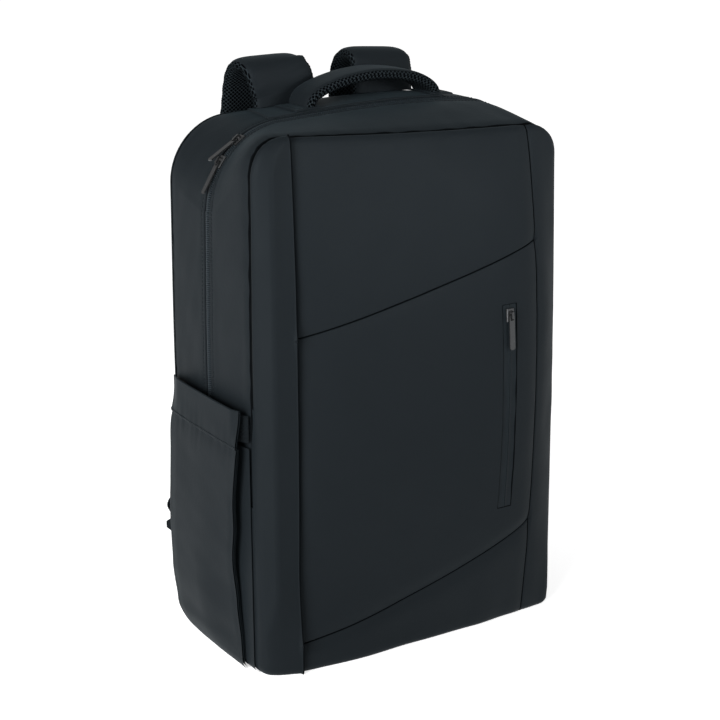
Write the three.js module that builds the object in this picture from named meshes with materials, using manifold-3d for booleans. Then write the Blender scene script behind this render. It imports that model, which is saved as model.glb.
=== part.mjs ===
// A laptop backpack with a box body, a slanted front panel layout, a main zip over the top and both sides,
// side pockets, a carry handle and two padded shoulder straps. Lengths are in millimetres and +Z is up.
// The front faces -Y, +X is on the right seen from the front, and the origin is the middle of the base.
import * as THREE from "three";
import { mergeVertices } from "three/addons/utils/BufferGeometryUtils.js";
import Module from "manifold-3d";

const wasm = await Module();
wasm.setup();

// Body: a rounded box between the front seam and the back seam
const bodyWidth = 298;
const bodyHeight = 450;
const bodyDepth = 142;
const frontCornerRadius = 30;
const zipCornerRadiusLeft = 66;
const zipCornerRadiusRight = 36;
const backCornerRadiusLeft = 54;
const backCornerRadiusRight = 42;
const baseCornerRadius = 10;
const rearBaseRadius = 30;
const sideBulge = 1.6;
const crownAtFront = -2.8;
const crownAtZip = 9;
const crownAtBack = 5.5;
const crownLean = 0.75;
const topTaper = 0.014;
const taperFrom = 240;
const crownSettle = 60;
const frontLift = 1.2;
const frontTilt = 6.3;
const wallThickness = 2.4;
const baseThickness = 3;
const seamGap = 0.4;
const layerGap = 0.35;

// Front: a soft pillow sewn from three middle panels and two side strips
const frontBulge = 27;
const frontBulgeLean = 0.35;
const frontEdgeRadius = 6;
const footRound = 18;
const footReach = 120;
const stripWidth = 34;
const upperSeamLeft = 292;
const upperSeamRight = 348;
const upperSeamSag = 2.4;
const lowerSeamLeft = 26;
const lowerSeamRight = 94;
const lowerSeamSag = 10.7;

// Back: a padded panel
const backPadThickness = 6;
const backEdgeRadius = 9;
const backBulge = 3;

// Main zip
const zipDepth = 73;
const zipOpening = 10.5;
const zipTuck = 5;
const zipTapeThickness = 1;
const zipEndHeight = 150;
const coilWidth = 4.6;
const coilHeight = 1.7;

// Sliders and pulls
const sliderLength = 11;
const sliderPlate = 1.3;
const sliderFlange = 1.2;
const sliderClearance = 0.35;
const bridgeLength = 8;
const bridgeHeight = 3.6;
const bridgeBar = 1.1;
const bridgeThickness = 2.2;
const pullLength = 30;
const pullWidth = 5.4;
const pullThickness = 1.2;
const pullBar = 1;
const pullEyeLength = 4;

// Front pocket zip
const frontZipInset = 67.5;
const frontZipTop = 298;
const frontZipBottom = 115;
const frontZipOpening = 14;
const frontZipSink = 0.9;
const frontZipTapeThickness = 1.2;
const frontSliderDrop = 9;

// Side pockets: the left one stands open, the right one lies flat
const pocketHeight = 233;
const pocketHemHeight = 32;
const pocketHemStand = 0.7;
const pocketWall = 1.8;
const pocketStand = 14;
const flatPocketStand = 8;
const flatPocketInset = 10;
const pocketRearInset = 2.5;
const elasticHeight = 22;
const elasticThickness = 1.4;
const bellowsWall = 1.2;
const bellowsDepth = 22;
const elasticReach = 14;

// Carry handle and the yoke that it stands on
const yokeThickness = 1.4;
const yokeFrontHalfWidth = 86;
const yokeBackHalfWidth = 76;
const handleWidth = 38;
const handleInset = 43;
const handleMiddle = 18;
const handleHalfSpan = 62;
const handleRise = 18.5;
const handleCoverThickness = 5;
const handleMeshThickness = 3;
const handleEndLength = 24;
const handleEndThickness = 1.5;

// Shoulder straps
const strapWidth = 60;
const strapEndWidth = 46;
const strapCoverThickness = 6.5;
const strapMeshThickness = 4.5;
const strapSpacing = 97;
const strapAside = 5;
const strapTiltLeft = 1;
const strapTiltRight = 4;
const strapRootInset = 12;
const strapRise = 31;
const strapLeanLeft = 9;
const strapLeanRight = 0;
const strapCrowding = 1.3;
const strapReach = 58;
const strapEndHeight = 182;
const strapEndSpread = 216;
const webbingWidth = 25;
const webbingThickness = 1.6;
const webbingTail = 85;
const lockHeight = 34;
const lockThickness = 3.6;
const lockBar = 4;
const lockSide = 3.5;
const tabHeight = 88;
const tabWidth = 30;
const tabTipWidth = 17;
const tabReach = 6;
const tabThickness = 2.4;

// Numbers of steps along the shapes
const cornerSteps = 7;
const sideSteps = 5;
const topSteps = 11;

const frontCloth = { color: 0x17191b, roughness: 0.62, metalness: 0 };
const meshCloth = { color: 0x0e0f10, roughness: 0.95, metalness: 0 };
const ribbonCloth = { color: 0x121314, roughness: 0.85, metalness: 0 };
const zipPlastic = { color: 0x101112, roughness: 0.45, metalness: 0 };
const blackMetal = { color: 0x1a1b1c, roughness: 0.35, metalness: 0.6 };
const bucklePlastic = { color: 0x0f1011, roughness: 0.5, metalness: 0 };

const backpack = new THREE.Group();
const body = new THREE.Group();
body.position.y = -bodyDepth / 2;
backpack.add(body);

const { clamp, lerp, smoothstep } = THREE.MathUtils;
const half = bodyWidth / 2;
const frontZipX = half - frontZipInset;
const handleDepth = bodyDepth - handleInset;
const strapRootDepth = bodyDepth - strapRootInset;
const steps = (count, from = 0, to = 1) =>
  Array.from({ length: count + 1 }, (_, i) => lerp(from, to, i / count));

// Value of a named column at a place along a short table, eased between its rows.
function along(rows, column, place, key = "at") {
  const next = rows.findIndex((row) => row[key] >= place);
  if (next === 0) return rows[0][column];
  if (next < 0) return rows.at(-1)[column];
  const [a, b] = [rows[next - 1], rows[next]];
  const share = (place - a[key]) / (b[key] - a[key]);
  return lerp(a[column], b[column], (1 - Math.cos(Math.PI * share)) / 2);
}

function indexed(points, faces) {
  const geometry = new THREE.BufferGeometry();
  geometry.setAttribute("position", new THREE.Float32BufferAttribute(points.flatMap((p) => p.toArray()), 3));
  let volume = 0;
  for (let i = 0; i < faces.length; i += 3) {
    const [a, b, c] = [points[faces[i]], points[faces[i + 1]], points[faces[i + 2]]];
    volume += a.dot(b.clone().cross(c));
  }
  geometry.setIndex(volume < 0 ? faces.toReversed() : faces);
  return geometry;
}

// A wall between a grid of outer points and the matching grid of inner points, closed round its edges.
function wallBetween(outer, inner) {
  const rows = outer.length;
  const columns = outer[0].length;
  const at = (r, c) => r * columns + c;
  const under = (r, c) => (rows + r) * columns + c;
  const faces = [];
  const quad = (a, b, c, d) => faces.push(a, b, c, a, c, d);
  for (let r = 0; r < rows - 1; r++) {
    for (let c = 0; c < columns - 1; c++) {
      quad(at(r, c), at(r, c + 1), at(r + 1, c + 1), at(r + 1, c));
      quad(under(r, c), under(r + 1, c), under(r + 1, c + 1), under(r, c + 1));
    }
    quad(at(r, 0), at(r + 1, 0), under(r + 1, 0), under(r, 0));
    quad(at(r + 1, columns - 1), at(r, columns - 1), under(r, columns - 1), under(r + 1, columns - 1));
  }
  for (let c = 0; c < columns - 1; c++) {
    quad(at(0, c + 1), at(0, c), under(0, c), under(0, c + 1));
    quad(at(rows - 1, c), at(rows - 1, c + 1), under(rows - 1, c + 1), under(rows - 1, c));
  }
  return indexed([...outer.flat(), ...inner.flat()], faces);
}

// A cloth wall on a surface: each place gives a point, and the wall lies between two offsets along
// the normal. The normal points to the side where the rows and columns turn to the left.
// An optional limit moves an offset point, to keep the wall on its own side of a seam.
function clothWall(rows, columns, surface, outside, inside, limit = (point) => point) {
  const nudge = 1e-3;
  const offsetPoint = (r, c, offset) => {
    const across = surface(r, c + nudge).sub(surface(r, c - nudge));
    const up = surface(r + nudge, c).sub(surface(r - nudge, c));
    return limit(surface(r, c).addScaledVector(across.cross(up).normalize(), offset));
  };
  const grid = (offset) => rows.map((r) => columns.map((c) => offsetPoint(r, c, offset)));
  return wallBetween(grid(outside), grid(inside));
}

// A solid through rings of points, closed at both ends.
function through(rings) {
  const count = rings[0].length;
  const faces = [];
  for (let r = 0; r < rings.length - 1; r++) {
    for (let i = 0; i < count; i++) {
      const j = (i + 1) % count;
      const [a, b, c, d] = [r * count + i, r * count + j, (r + 1) * count + j, (r + 1) * count + i];
      faces.push(a, b, c, a, c, d);
    }
  }
  const last = (rings.length - 1) * count;
  for (let i = 1; i < count - 1; i++) {
    faces.push(0, i + 1, i);
    faces.push(last, last + i, last + i + 1);
  }
  return indexed(rings.flat(), faces);
}

function toSolid(geometry) {
  const bare = geometry.clone();
  bare.deleteAttribute("normal");
  bare.deleteAttribute("uv");
  const merged = mergeVertices(bare, 1e-4);
  return new wasm.Manifold(
    new wasm.Mesh({
      numProp: 3,
      vertProperties: merged.attributes.position.array,
      triVerts: new Uint32Array(merged.index.array),
    }),
  );
}

function fromSolid(solid) {
  const mesh = solid.getMesh();
  const geometry = new THREE.BufferGeometry();
  geometry.setAttribute("position", new THREE.BufferAttribute(mesh.vertProperties, 3));
  geometry.setIndex(new THREE.BufferAttribute(mesh.triVerts, 1));
  return geometry;
}

const cut = (geometry, tool) => fromSolid(toSolid(geometry).subtract(toSolid(tool)));
const join = (first, second) => fromSolid(toSolid(first).add(toSolid(second)));

function addPiece(name, geometry, look, parent = body) {
  geometry.computeVertexNormals();
  const piece = new THREE.Mesh(geometry, new THREE.MeshStandardMaterial(look));
  piece.name = name;
  parent.add(piece);
  return piece;
}

// The crown of the top: a parabola over the depth, through the front seam, the zip and the back seam
function crownRise(x, y) {
  const zip = (crownAtZip - crownAtFront) / zipDepth;
  const back = (crownAtBack - crownAtFront) / bodyDepth;
  const bend = (back - zip) / (bodyDepth - zipDepth);
  const share = clamp(x / half, -1, 1);
  const rise = crownAtFront + y * (zip + bend * (y - zipDepth));
  const lean = crownLean * clamp(y / zipDepth, 0, 1);
  return rise * (1 - share ** 2) * (1 + lean * share);
}

// The front seam runs down to the right over the top, and this fades out towards the zip and down the sides.
function tiltRise(x, y, z) {
  const near = 1 - smoothstep(y, 0, zipDepth);
  const share = clamp(x / half, -1, 1);
  return (frontLift - frontTilt * share) * near * smoothstep(z, bodyHeight - crownSettle, bodyHeight);
}

const topHeight = (x, y) => bodyHeight + crownRise(x, y) + tiltRise(x, y, bodyHeight);
const backCornerRadius = (side) => (side < 0 ? backCornerRadiusLeft : backCornerRadiusRight);
const zipCornerRadius = (side) => (side < 0 ? zipCornerRadiusLeft : zipCornerRadiusRight);

function cornerRadiusAt(y, side) {
  const zip = zipCornerRadius(side);
  if (y < zipDepth) return lerp(frontCornerRadius, zip, smoothstep(y, 0, zipDepth));
  return lerp(zip, backCornerRadius(side), smoothstep(y, zipDepth, bodyDepth));
}

// The body narrows a little towards its top.
const tapered = (x, z) => x * (1 - topTaper * smoothstep(z, taperFrom, bodyHeight));

// The depth of the body at a height: the rear lower edge is rounded.
function depthAt(z) {
  const share = clamp(1 - z / rearBaseRadius, 0, 1);
  return bodyDepth - rearBaseRadius * (1 - Math.sqrt(1 - share ** 2));
}

// A point of the side and top skin. place runs 0 to 1 up the left side, 1 to 2 round the left top corner,
// 2 to 3 over the top, 3 to 4 round the right top corner and 4 to 5 down the right side.
function skinPoint(place, y) {
  const side = place < 2.5 ? -1 : 1;
  const radius = cornerRadiusAt(y, side);
  const climb = side < 0 ? place : 5 - place;
  if (climb > 2) {
    const x = lerp(cornerRadiusAt(y, -1) - half, half - cornerRadiusAt(y, 1), place - 2);
    return new THREE.Vector3(tapered(x, bodyHeight), y, topHeight(x, y));
  }
  if (climb > 1) {
    const angle = ((climb - 1) * Math.PI) / 2;
    const x = side * (half - radius + radius * Math.cos(angle));
    const z = bodyHeight - radius + radius * Math.sin(angle);
    return new THREE.Vector3(tapered(x, z), y, z + crownRise(x, y) + tiltRise(x, y, z));
  }
  const z = lerp(zipEndHeight, bodyHeight - radius, climb);
  const point = sidePoint(side, y, z);
  return point.setZ(z + tiltRise(point.x, y, z));
}

function sidePoint(side, y, z) {
  const arch = (share) => Math.sin(Math.PI * clamp(share, 0, 1));
  const bulge = sideBulge * arch(z / bodyHeight) * arch(y / bodyDepth);
  return new THREE.Vector3(tapered(side * (half + bulge), z), y, z);
}

// Places along the skin from one zip end to the other
const skinPlaces = [
  ...steps(sideSteps, 0, 1),
  ...steps(cornerSteps, 1, 2).slice(1),
  ...steps(topSteps, 2, 3).slice(1),
  ...steps(cornerSteps, 3, 4).slice(1),
  ...steps(sideSteps, 4, 5).slice(1),
];

// Distances from an edge that follow its round, from the seam inwards
const edgeShares = [0, 0.14, 0.5, 1];

// How far a point of the undeformed face lies inside its rounded outline.
function insetOf(x, z, topRadius) {
  const ax = Math.abs(x);
  if (ax > half - topRadius && z > bodyHeight - topRadius)
    return topRadius - Math.hypot(ax - half + topRadius, z - bodyHeight + topRadius);
  if (ax > half - baseCornerRadius && z < baseCornerRadius)
    return baseCornerRadius - Math.hypot(ax - half + baseCornerRadius, z - baseCornerRadius);
  return Math.min(half - ax, bodyHeight - z, z);
}

const roundEdge = (inset, radius) => {
  const share = clamp(1 - inset / radius, 0, 1);
  return radius * Math.sqrt(1 - share ** 2);
};

// The height of a face point once the crown of the top is taken in.
function settled(x, z, y) {
  return z + crownRise(x, y) * smoothstep(z, bodyHeight - crownSettle, bodyHeight) + tiltRise(x, y, z);
}

// How far the foot of the pillow stands forward on the floor, by its place across in shares of half the width
const footRows = [
  { at: -1, stand: 9 },
  { at: -0.75, stand: 14 },
  { at: -0.4, stand: 16 },
  { at: 0, stand: 12 },
  { at: 0.4, stand: 9.5 },
  { at: 0.7, stand: 5 },
  { at: 0.95, stand: 1 },
];

// Half of the face outline's width at a height, with both corners rounded.
function halfWidthAt(z, topRadius) {
  const above = clamp(z - (bodyHeight - topRadius), 0, topRadius);
  const below = clamp(baseCornerRadius - z, 0, baseCornerRadius);
  const topCut = topRadius - Math.sqrt(topRadius ** 2 - above ** 2);
  const baseCut = baseCornerRadius - Math.sqrt(baseCornerRadius ** 2 - below ** 2);
  return half - topCut - baseCut;
}

function frontStand(x, z) {
  const share = clamp(x / half, -1, 1);
  const swell = (1 - share ** 4) * (1 + frontBulgeLean * share);
  const bulge = frontBulge * swell * Math.sin(Math.PI * clamp(z / bodyHeight, 0, 1)) ** 0.66;
  const edge = roundEdge(halfWidthAt(z, frontCornerRadius) - Math.abs(x), footRound) / footRound;
  const foot = along(footRows, "stand", share) * edge * (1 - smoothstep(z, 0, footReach));
  return roundEdge(insetOf(x, z, frontCornerRadius), frontEdgeRadius) + Math.hypot(bulge, foot);
}

// A point of the front. Heights from -1 to 0 run along the floor, from the base seam to the pillow's foot.
function frontPoint(x, z) {
  const height = Math.max(z, 0);
  const stand = frontStand(x, height) * clamp(1 + z, 0, 1);
  return new THREE.Vector3(tapered(x, height), -stand, settled(x, height, 0));
}

const beforeSeam = (point) => point.setY(Math.min(point.y, 0));
const behindSeam = (point) => point.setY(Math.max(point.y, depthAt(point.z)));

const seamAcross = (x) => clamp((x + half - stripWidth) / (bodyWidth - 2 * stripWidth), 0, 1);
const seamHeight = (x, left, right, sag) => {
  const share = seamAcross(x);
  return lerp(left, right, share) - 4 * sag * share * (1 - share);
};
const upperSeam = (x) => seamHeight(x, upperSeamLeft, upperSeamRight, upperSeamSag);
const lowerSeam = (x) => seamHeight(x, lowerSeamLeft, lowerSeamRight, lowerSeamSag);

// Front panel between two seams, each a height for every x
function frontMiddle(low, high, rows) {
  const left = stripWidth - half + seamGap / 2;
  const right = half - stripWidth - seamGap / 2;
  const surface = (r, c) => {
    const x = lerp(left, right, c);
    return frontPoint(x, r < 0 ? r : lerp(low(x), high(x), r));
  };
  return clothWall(rows, steps(12), surface, 0, -wallThickness, beforeSeam);
}

function frontStrip(side) {
  const heights = [
    -1,
    ...edgeShares.map((share) => share * frontEdgeRadius),
    ...steps(9, baseCornerRadius * 1.5, bodyHeight - frontCornerRadius),
    ...steps(3, bodyHeight - frontCornerRadius, bodyHeight - frontEdgeRadius).slice(1),
    ...edgeShares.toReversed().map((share) => bodyHeight - share * frontEdgeRadius).slice(1),
  ];
  const inner = half - stripWidth + seamGap / 2;
  const surface = (z, c) => {
    const outer = Math.max(halfWidthAt(clamp(z, 0, bodyHeight), frontCornerRadius), inner + 2);
    const x = side < 0 ? lerp(-outer, -inner, c) : lerp(inner, outer, c);
    return frontPoint(x, Math.min(z, bodyHeight));
  };
  const edge = edgeShares.map((share) => (share * frontEdgeRadius) / stripWidth);
  const across = [...edge, ...steps(2, edge.at(-1), 1).slice(1)];
  const columns = side < 0 ? across : across.map((share) => 1 - share).toReversed();
  return clothWall(heights, columns, surface, 0, -wallThickness, beforeSeam);
}

function addFront() {
  const gap = seamGap / 2;
  const foot = frontEdgeRadius / lowerSeam(0);
  const head = frontEdgeRadius / (bodyHeight - upperSeam(0));
  const lowerRows = [-1, ...edgeShares.map((share) => share * foot), ...steps(3, foot, 1).slice(1)];
  const headRows = edgeShares.toReversed().map((share) => 1 - share * head).slice(1);
  const upperRows = [...steps(5, 0, 1 - head), ...headRows];
  const lower = frontMiddle(() => 0, (x) => lowerSeam(x) - gap, lowerRows);
  const middle = frontMiddle((x) => lowerSeam(x) + gap, (x) => upperSeam(x) - gap, steps(8));
  const upper = frontMiddle((x) => upperSeam(x) + gap, () => bodyHeight, upperRows);
  const slot = new THREE.BoxGeometry(frontZipOpening, frontBulge * 3, frontZipTop - frontZipBottom);
  slot.translate(frontZipX, -frontBulge, (frontZipTop + frontZipBottom) / 2);
  addPiece("front_lower_panel", lower, frontCloth);
  addPiece("front_middle_panel", cut(middle, slot), frontCloth);
  addPiece("front_upper_panel", upper, frontCloth);
  addPiece("front_left_strip", frontStrip(-1), frontCloth);
  addPiece("front_right_strip", frontStrip(1), frontCloth);
}

// A band of the side and top skin through some depths, between two offsets along the outward normal
function skinBand(depths, outside, inside) {
  const surface = (y, place) => skinPoint(place, y);
  return clothWall(depths, skinPlaces, surface, outside, inside);
}

function addGussets() {
  const gap = seamGap / 2;
  const frontLip = zipDepth - zipOpening / 2;
  const backLip = zipDepth + zipOpening / 2;
  const frontDepths = [...steps(3, gap, frontLip - zipTuck), frontLip];
  const backDepths = [backLip, ...steps(3, backLip + zipTuck, bodyDepth - gap)];
  addPiece("front_gusset", skinBand(frontDepths, 0, -wallThickness), frontCloth);
  addPiece("rear_gusset", skinBand(backDepths, 0, -wallThickness), frontCloth);
}

function addMainZip() {
  const tapeTop = -wallThickness - layerGap;
  const edge = zipOpening / 2;
  const tapeDepths = [-edge - zipTuck, -edge, edge, edge + zipTuck].map((d) => zipDepth + d);
  const coilDepths = [zipDepth - coilWidth / 2, zipDepth + coilWidth / 2];
  addPiece("main_zip_tape", skinBand(tapeDepths, tapeTop, tapeTop - zipTapeThickness), zipPlastic);
  addPiece("main_zip_coil", skinBand(coilDepths, coilHeight - wallThickness, -wallThickness), zipPlastic);
}

// Side panel below the zip's end, from the base round the lower corner and up
function sidePanel(side) {
  const gap = seamGap / 2;
  const surface = (v, place) => {
    const angle = clamp(place, 0, 1) * (Math.PI / 2);
    const z = place > 1
      ? lerp(baseCornerRadius, zipEndHeight - seamGap, place - 1)
      : baseCornerRadius * (1 - Math.cos(angle));
    const inward = baseCornerRadius * (1 - Math.sin(angle));
    const y = lerp(gap, depthAt(z) - seamGap, v);
    const point = sidePoint(side, y, z);
    point.x -= side * inward;
    return point;
  };
  const roundTop = 1 + (rearBaseRadius - baseCornerRadius) / (zipEndHeight - baseCornerRadius);
  const places = [...steps(4, 0.03, 1), ...steps(3, 1, roundTop).slice(1), ...steps(3, roundTop, 2).slice(1)];
  return clothWall(steps(5), places, surface, 0, side * wallThickness);
}

function addLowerBody() {
  const gap = seamGap / 2;
  addPiece("left_side_panel", sidePanel(-1), frontCloth);
  addPiece("right_side_panel", sidePanel(1), frontCloth);
  const depth = depthAt(0) - 2 * gap;
  const base = new THREE.BoxGeometry(bodyWidth - 2 * baseCornerRadius - 2 * gap, depth, baseThickness);
  base.translate(0, gap + depth / 2, baseThickness / 2);
  addPiece("base_panel", base, frontCloth);
}

function addBack() {
  const surface = (z, c) => {
    const height = clamp(z, 0, bodyHeight);
    const right = halfWidthAt(height, backCornerRadius(1));
    const left = -halfWidthAt(height, backCornerRadius(-1));
    const x = lerp(right, left, c);
    const stand = roundEdge(insetOf(x, height, backCornerRadius(x)), backEdgeRadius)
      + backBulge * (1 - (x / half) ** 2) * Math.sin((Math.PI * height) / bodyHeight);
    return new THREE.Vector3(tapered(x, height), depthAt(height) + stand, settled(x, height, bodyDepth));
  };
  const heights = [
    ...edgeShares.map((share) => share * backEdgeRadius),
    ...steps(3, backEdgeRadius, rearBaseRadius).slice(1),
    ...steps(7, rearBaseRadius, bodyHeight - backCornerRadiusLeft).slice(1),
    ...steps(4, bodyHeight - backCornerRadiusLeft, bodyHeight - backEdgeRadius).slice(1),
    ...edgeShares.toReversed().map((share) => bodyHeight - share * backEdgeRadius).slice(1),
  ];
  const edge = edgeShares.map((share) => (share * backEdgeRadius) / bodyWidth);
  const between = steps(8, edge.at(-1), 1 - edge.at(-1)).slice(1, -1);
  const across = [...edge, ...between, ...edge.toReversed().map((share) => 1 - share)];
  addPiece("back_panel", clothWall(heights, across, surface, 0, -backPadThickness, behindSeam), meshCloth);
}

// A frame of directions on a surface: X along a zip, Y across it and Z outwards.
function placedAt(point, along, outward) {
  const z = outward.clone().normalize();
  const x = along.clone().addScaledVector(z, -along.dot(z)).normalize();
  const y = z.clone().cross(x);
  const group = new THREE.Group();
  group.matrixAutoUpdate = false;
  group.matrix.makeBasis(x, y, z).setPosition(point);
  body.add(group);
  return group;
}

// Slider on its own axes: a plate with two flanges that straddle what it runs on, and a bridge for the pull
function sliderGeometry(runWidth, runHeight) {
  const flangeX = runWidth / 2 + sliderClearance;
  const outerX = flangeX + sliderFlange;
  const top = sliderClearance + sliderPlate;
  const profile = new THREE.Shape();
  profile.moveTo(-outerX, -runHeight);
  profile.lineTo(-flangeX, -runHeight);
  profile.lineTo(-flangeX, sliderClearance);
  profile.lineTo(flangeX, sliderClearance);
  profile.lineTo(flangeX, -runHeight);
  profile.lineTo(outerX, -runHeight);
  profile.lineTo(outerX, top - sliderPlate / 2);
  profile.lineTo(outerX - sliderPlate / 2, top);
  profile.lineTo(sliderPlate / 2 - outerX, top);
  profile.lineTo(-outerX, top - sliderPlate / 2);
  const plate = new THREE.ExtrudeGeometry(profile, { depth: sliderLength, bevelEnabled: false });
  plate.translate(0, 0, -sliderLength / 2).rotateX(Math.PI / 2).rotateZ(Math.PI / 2);
  const arch = new THREE.Shape();
  const reach = bridgeLength / 2;
  arch.moveTo(-reach, 0);
  arch.lineTo(-reach + bridgeBar, bridgeHeight);
  arch.lineTo(reach - bridgeBar, bridgeHeight);
  arch.lineTo(reach, 0);
  arch.lineTo(reach - bridgeBar, 0);
  arch.lineTo(reach - 2 * bridgeBar, bridgeHeight - bridgeBar);
  arch.lineTo(2 * bridgeBar - reach, bridgeHeight - bridgeBar);
  arch.lineTo(bridgeBar - reach, 0);
  const bridge = new THREE.ExtrudeGeometry(arch, { depth: bridgeThickness, bevelEnabled: false });
  bridge.translate(0, 0, -bridgeThickness / 2).rotateX(Math.PI / 2).translate(0, 0, top - bridgeBar / 4);
  return join(plate, bridge);
}

// Pull on its own axes: it runs from its eye along -X and its face looks along Z
function pullGeometry() {
  const outline = new THREE.Shape();
  const wide = pullWidth / 2;
  const bar = pullBar / 2;
  const bevel = pullWidth / 4;
  outline.moveTo(bar, bevel - wide);
  outline.lineTo(bar, wide - bevel);
  outline.lineTo(bar - bevel, wide);
  outline.lineTo(bevel - pullLength, wide);
  outline.lineTo(-pullLength, wide - bevel);
  outline.lineTo(-pullLength, bevel - wide);
  outline.lineTo(bevel - pullLength, -wide);
  outline.lineTo(bar - bevel, -wide);
  const eye = new THREE.Path();
  const side = wide - pullBar;
  eye.moveTo(-bar, -side);
  eye.lineTo(-bar - pullEyeLength, -side);
  eye.lineTo(-bar - pullEyeLength, side);
  eye.lineTo(-bar, side);
  outline.holes.push(eye);
  const plate = new THREE.ExtrudeGeometry(outline, { depth: pullThickness, bevelEnabled: false });
  return plate.translate(0, 0, -pullThickness / 2);
}

// A slider and its pull. The pull turns by some degrees from the surface, about the bridge.
function addSlider(name, place, runWidth, runHeight, turn) {
  addPiece(name + "_slider", sliderGeometry(runWidth, runHeight), blackMetal, place);
  const hinge = new THREE.Group();
  hinge.position.z = sliderClearance + sliderPlate + (bridgeHeight - 1.25 * bridgeBar) / 2;
  hinge.rotation.y = THREE.MathUtils.degToRad(turn);
  place.add(hinge);
  addPiece(name + "_pull", pullGeometry(), blackMetal, hinge);
}

// Sliders of the main zip, by their place round the left top corner
function addMainSliders() {
  const rows = [
    { name: "lower", place: 1.41, turn: -5 },
    { name: "upper", place: 1.63, turn: 4 },
  ];
  for (const { name, place, turn } of rows) {
    const point = skinPoint(place, zipDepth);
    const climb = skinPoint(place + 0.01, zipDepth).sub(skinPoint(place - 0.01, zipDepth)).normalize();
    const outward = climb.clone().cross(new THREE.Vector3(0, 1, 0));
    point.addScaledVector(outward, coilHeight - wallThickness);
    addSlider("main_zip_" + name, placedAt(point, climb, outward), coilWidth, coilHeight, turn);
  }
}

// Front pocket zip: a coated tape in the slot of the middle panel, with its slider near the top
function addFrontZip() {
  const surface = (z, c) => {
    const width = frontZipOpening / 2 - layerGap;
    return frontPoint(frontZipX + lerp(-width, width, c), z);
  };
  const heights = steps(8, frontZipBottom + layerGap, frontZipTop - layerGap);
  const tape = clothWall(heights, steps(2), surface, -frontZipSink, -frontZipSink - frontZipTapeThickness);
  addPiece("front_zip_tape", tape, zipPlastic);
  const height = frontZipTop - frontSliderDrop;
  const point = frontPoint(frontZipX, height);
  const climb = frontPoint(frontZipX, height + 1).sub(frontPoint(frontZipX, height - 1)).normalize();
  const across = frontPoint(frontZipX + 1, height).sub(frontPoint(frontZipX - 1, height)).normalize();
  const outward = across.cross(climb).normalize();
  point.addScaledVector(outward, layerGap - frontZipSink);
  addSlider("front_zip", placedAt(point, climb, outward), coilWidth, 0, 0);
}

// A side pocket. Lengths in the tables are shares of the body's depth, of the stand and of the height.
const pocketFrontRows = [
  { at: 0, front: 0.1 },
  { at: 0.35, front: 0.125 },
  { at: 0.6, front: 0.07 },
  { at: 0.87, front: 0.016 },
  { at: 1, front: 0.016 },
];
const pocketFillRows = [
  { at: 0, front: 0.39, rear: 0.45 },
  { at: 0.1, front: 0.42, rear: 0.85 },
  { at: 0.25, front: 0.56, rear: 1.08 },
  { at: 0.5, front: 0.9, rear: 1.1 },
  { at: 0.75, front: 1, rear: 1 },
  { at: 1, front: 0.85, rear: 0.86 },
];
const pocketRearRows = [
  { at: 0.8, stand: 1 },
  { at: 0.93, stand: 0.93 },
  { at: 1, stand: 0.4 },
];

// How far a wall that stands off the body's lower corner turns in at a height
function cornerTurn(z, off) {
  const radius = baseCornerRadius + off;
  const below = clamp(baseCornerRadius - z, 0, baseCornerRadius);
  return radius - Math.sqrt(radius ** 2 - below ** 2);
}

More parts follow.
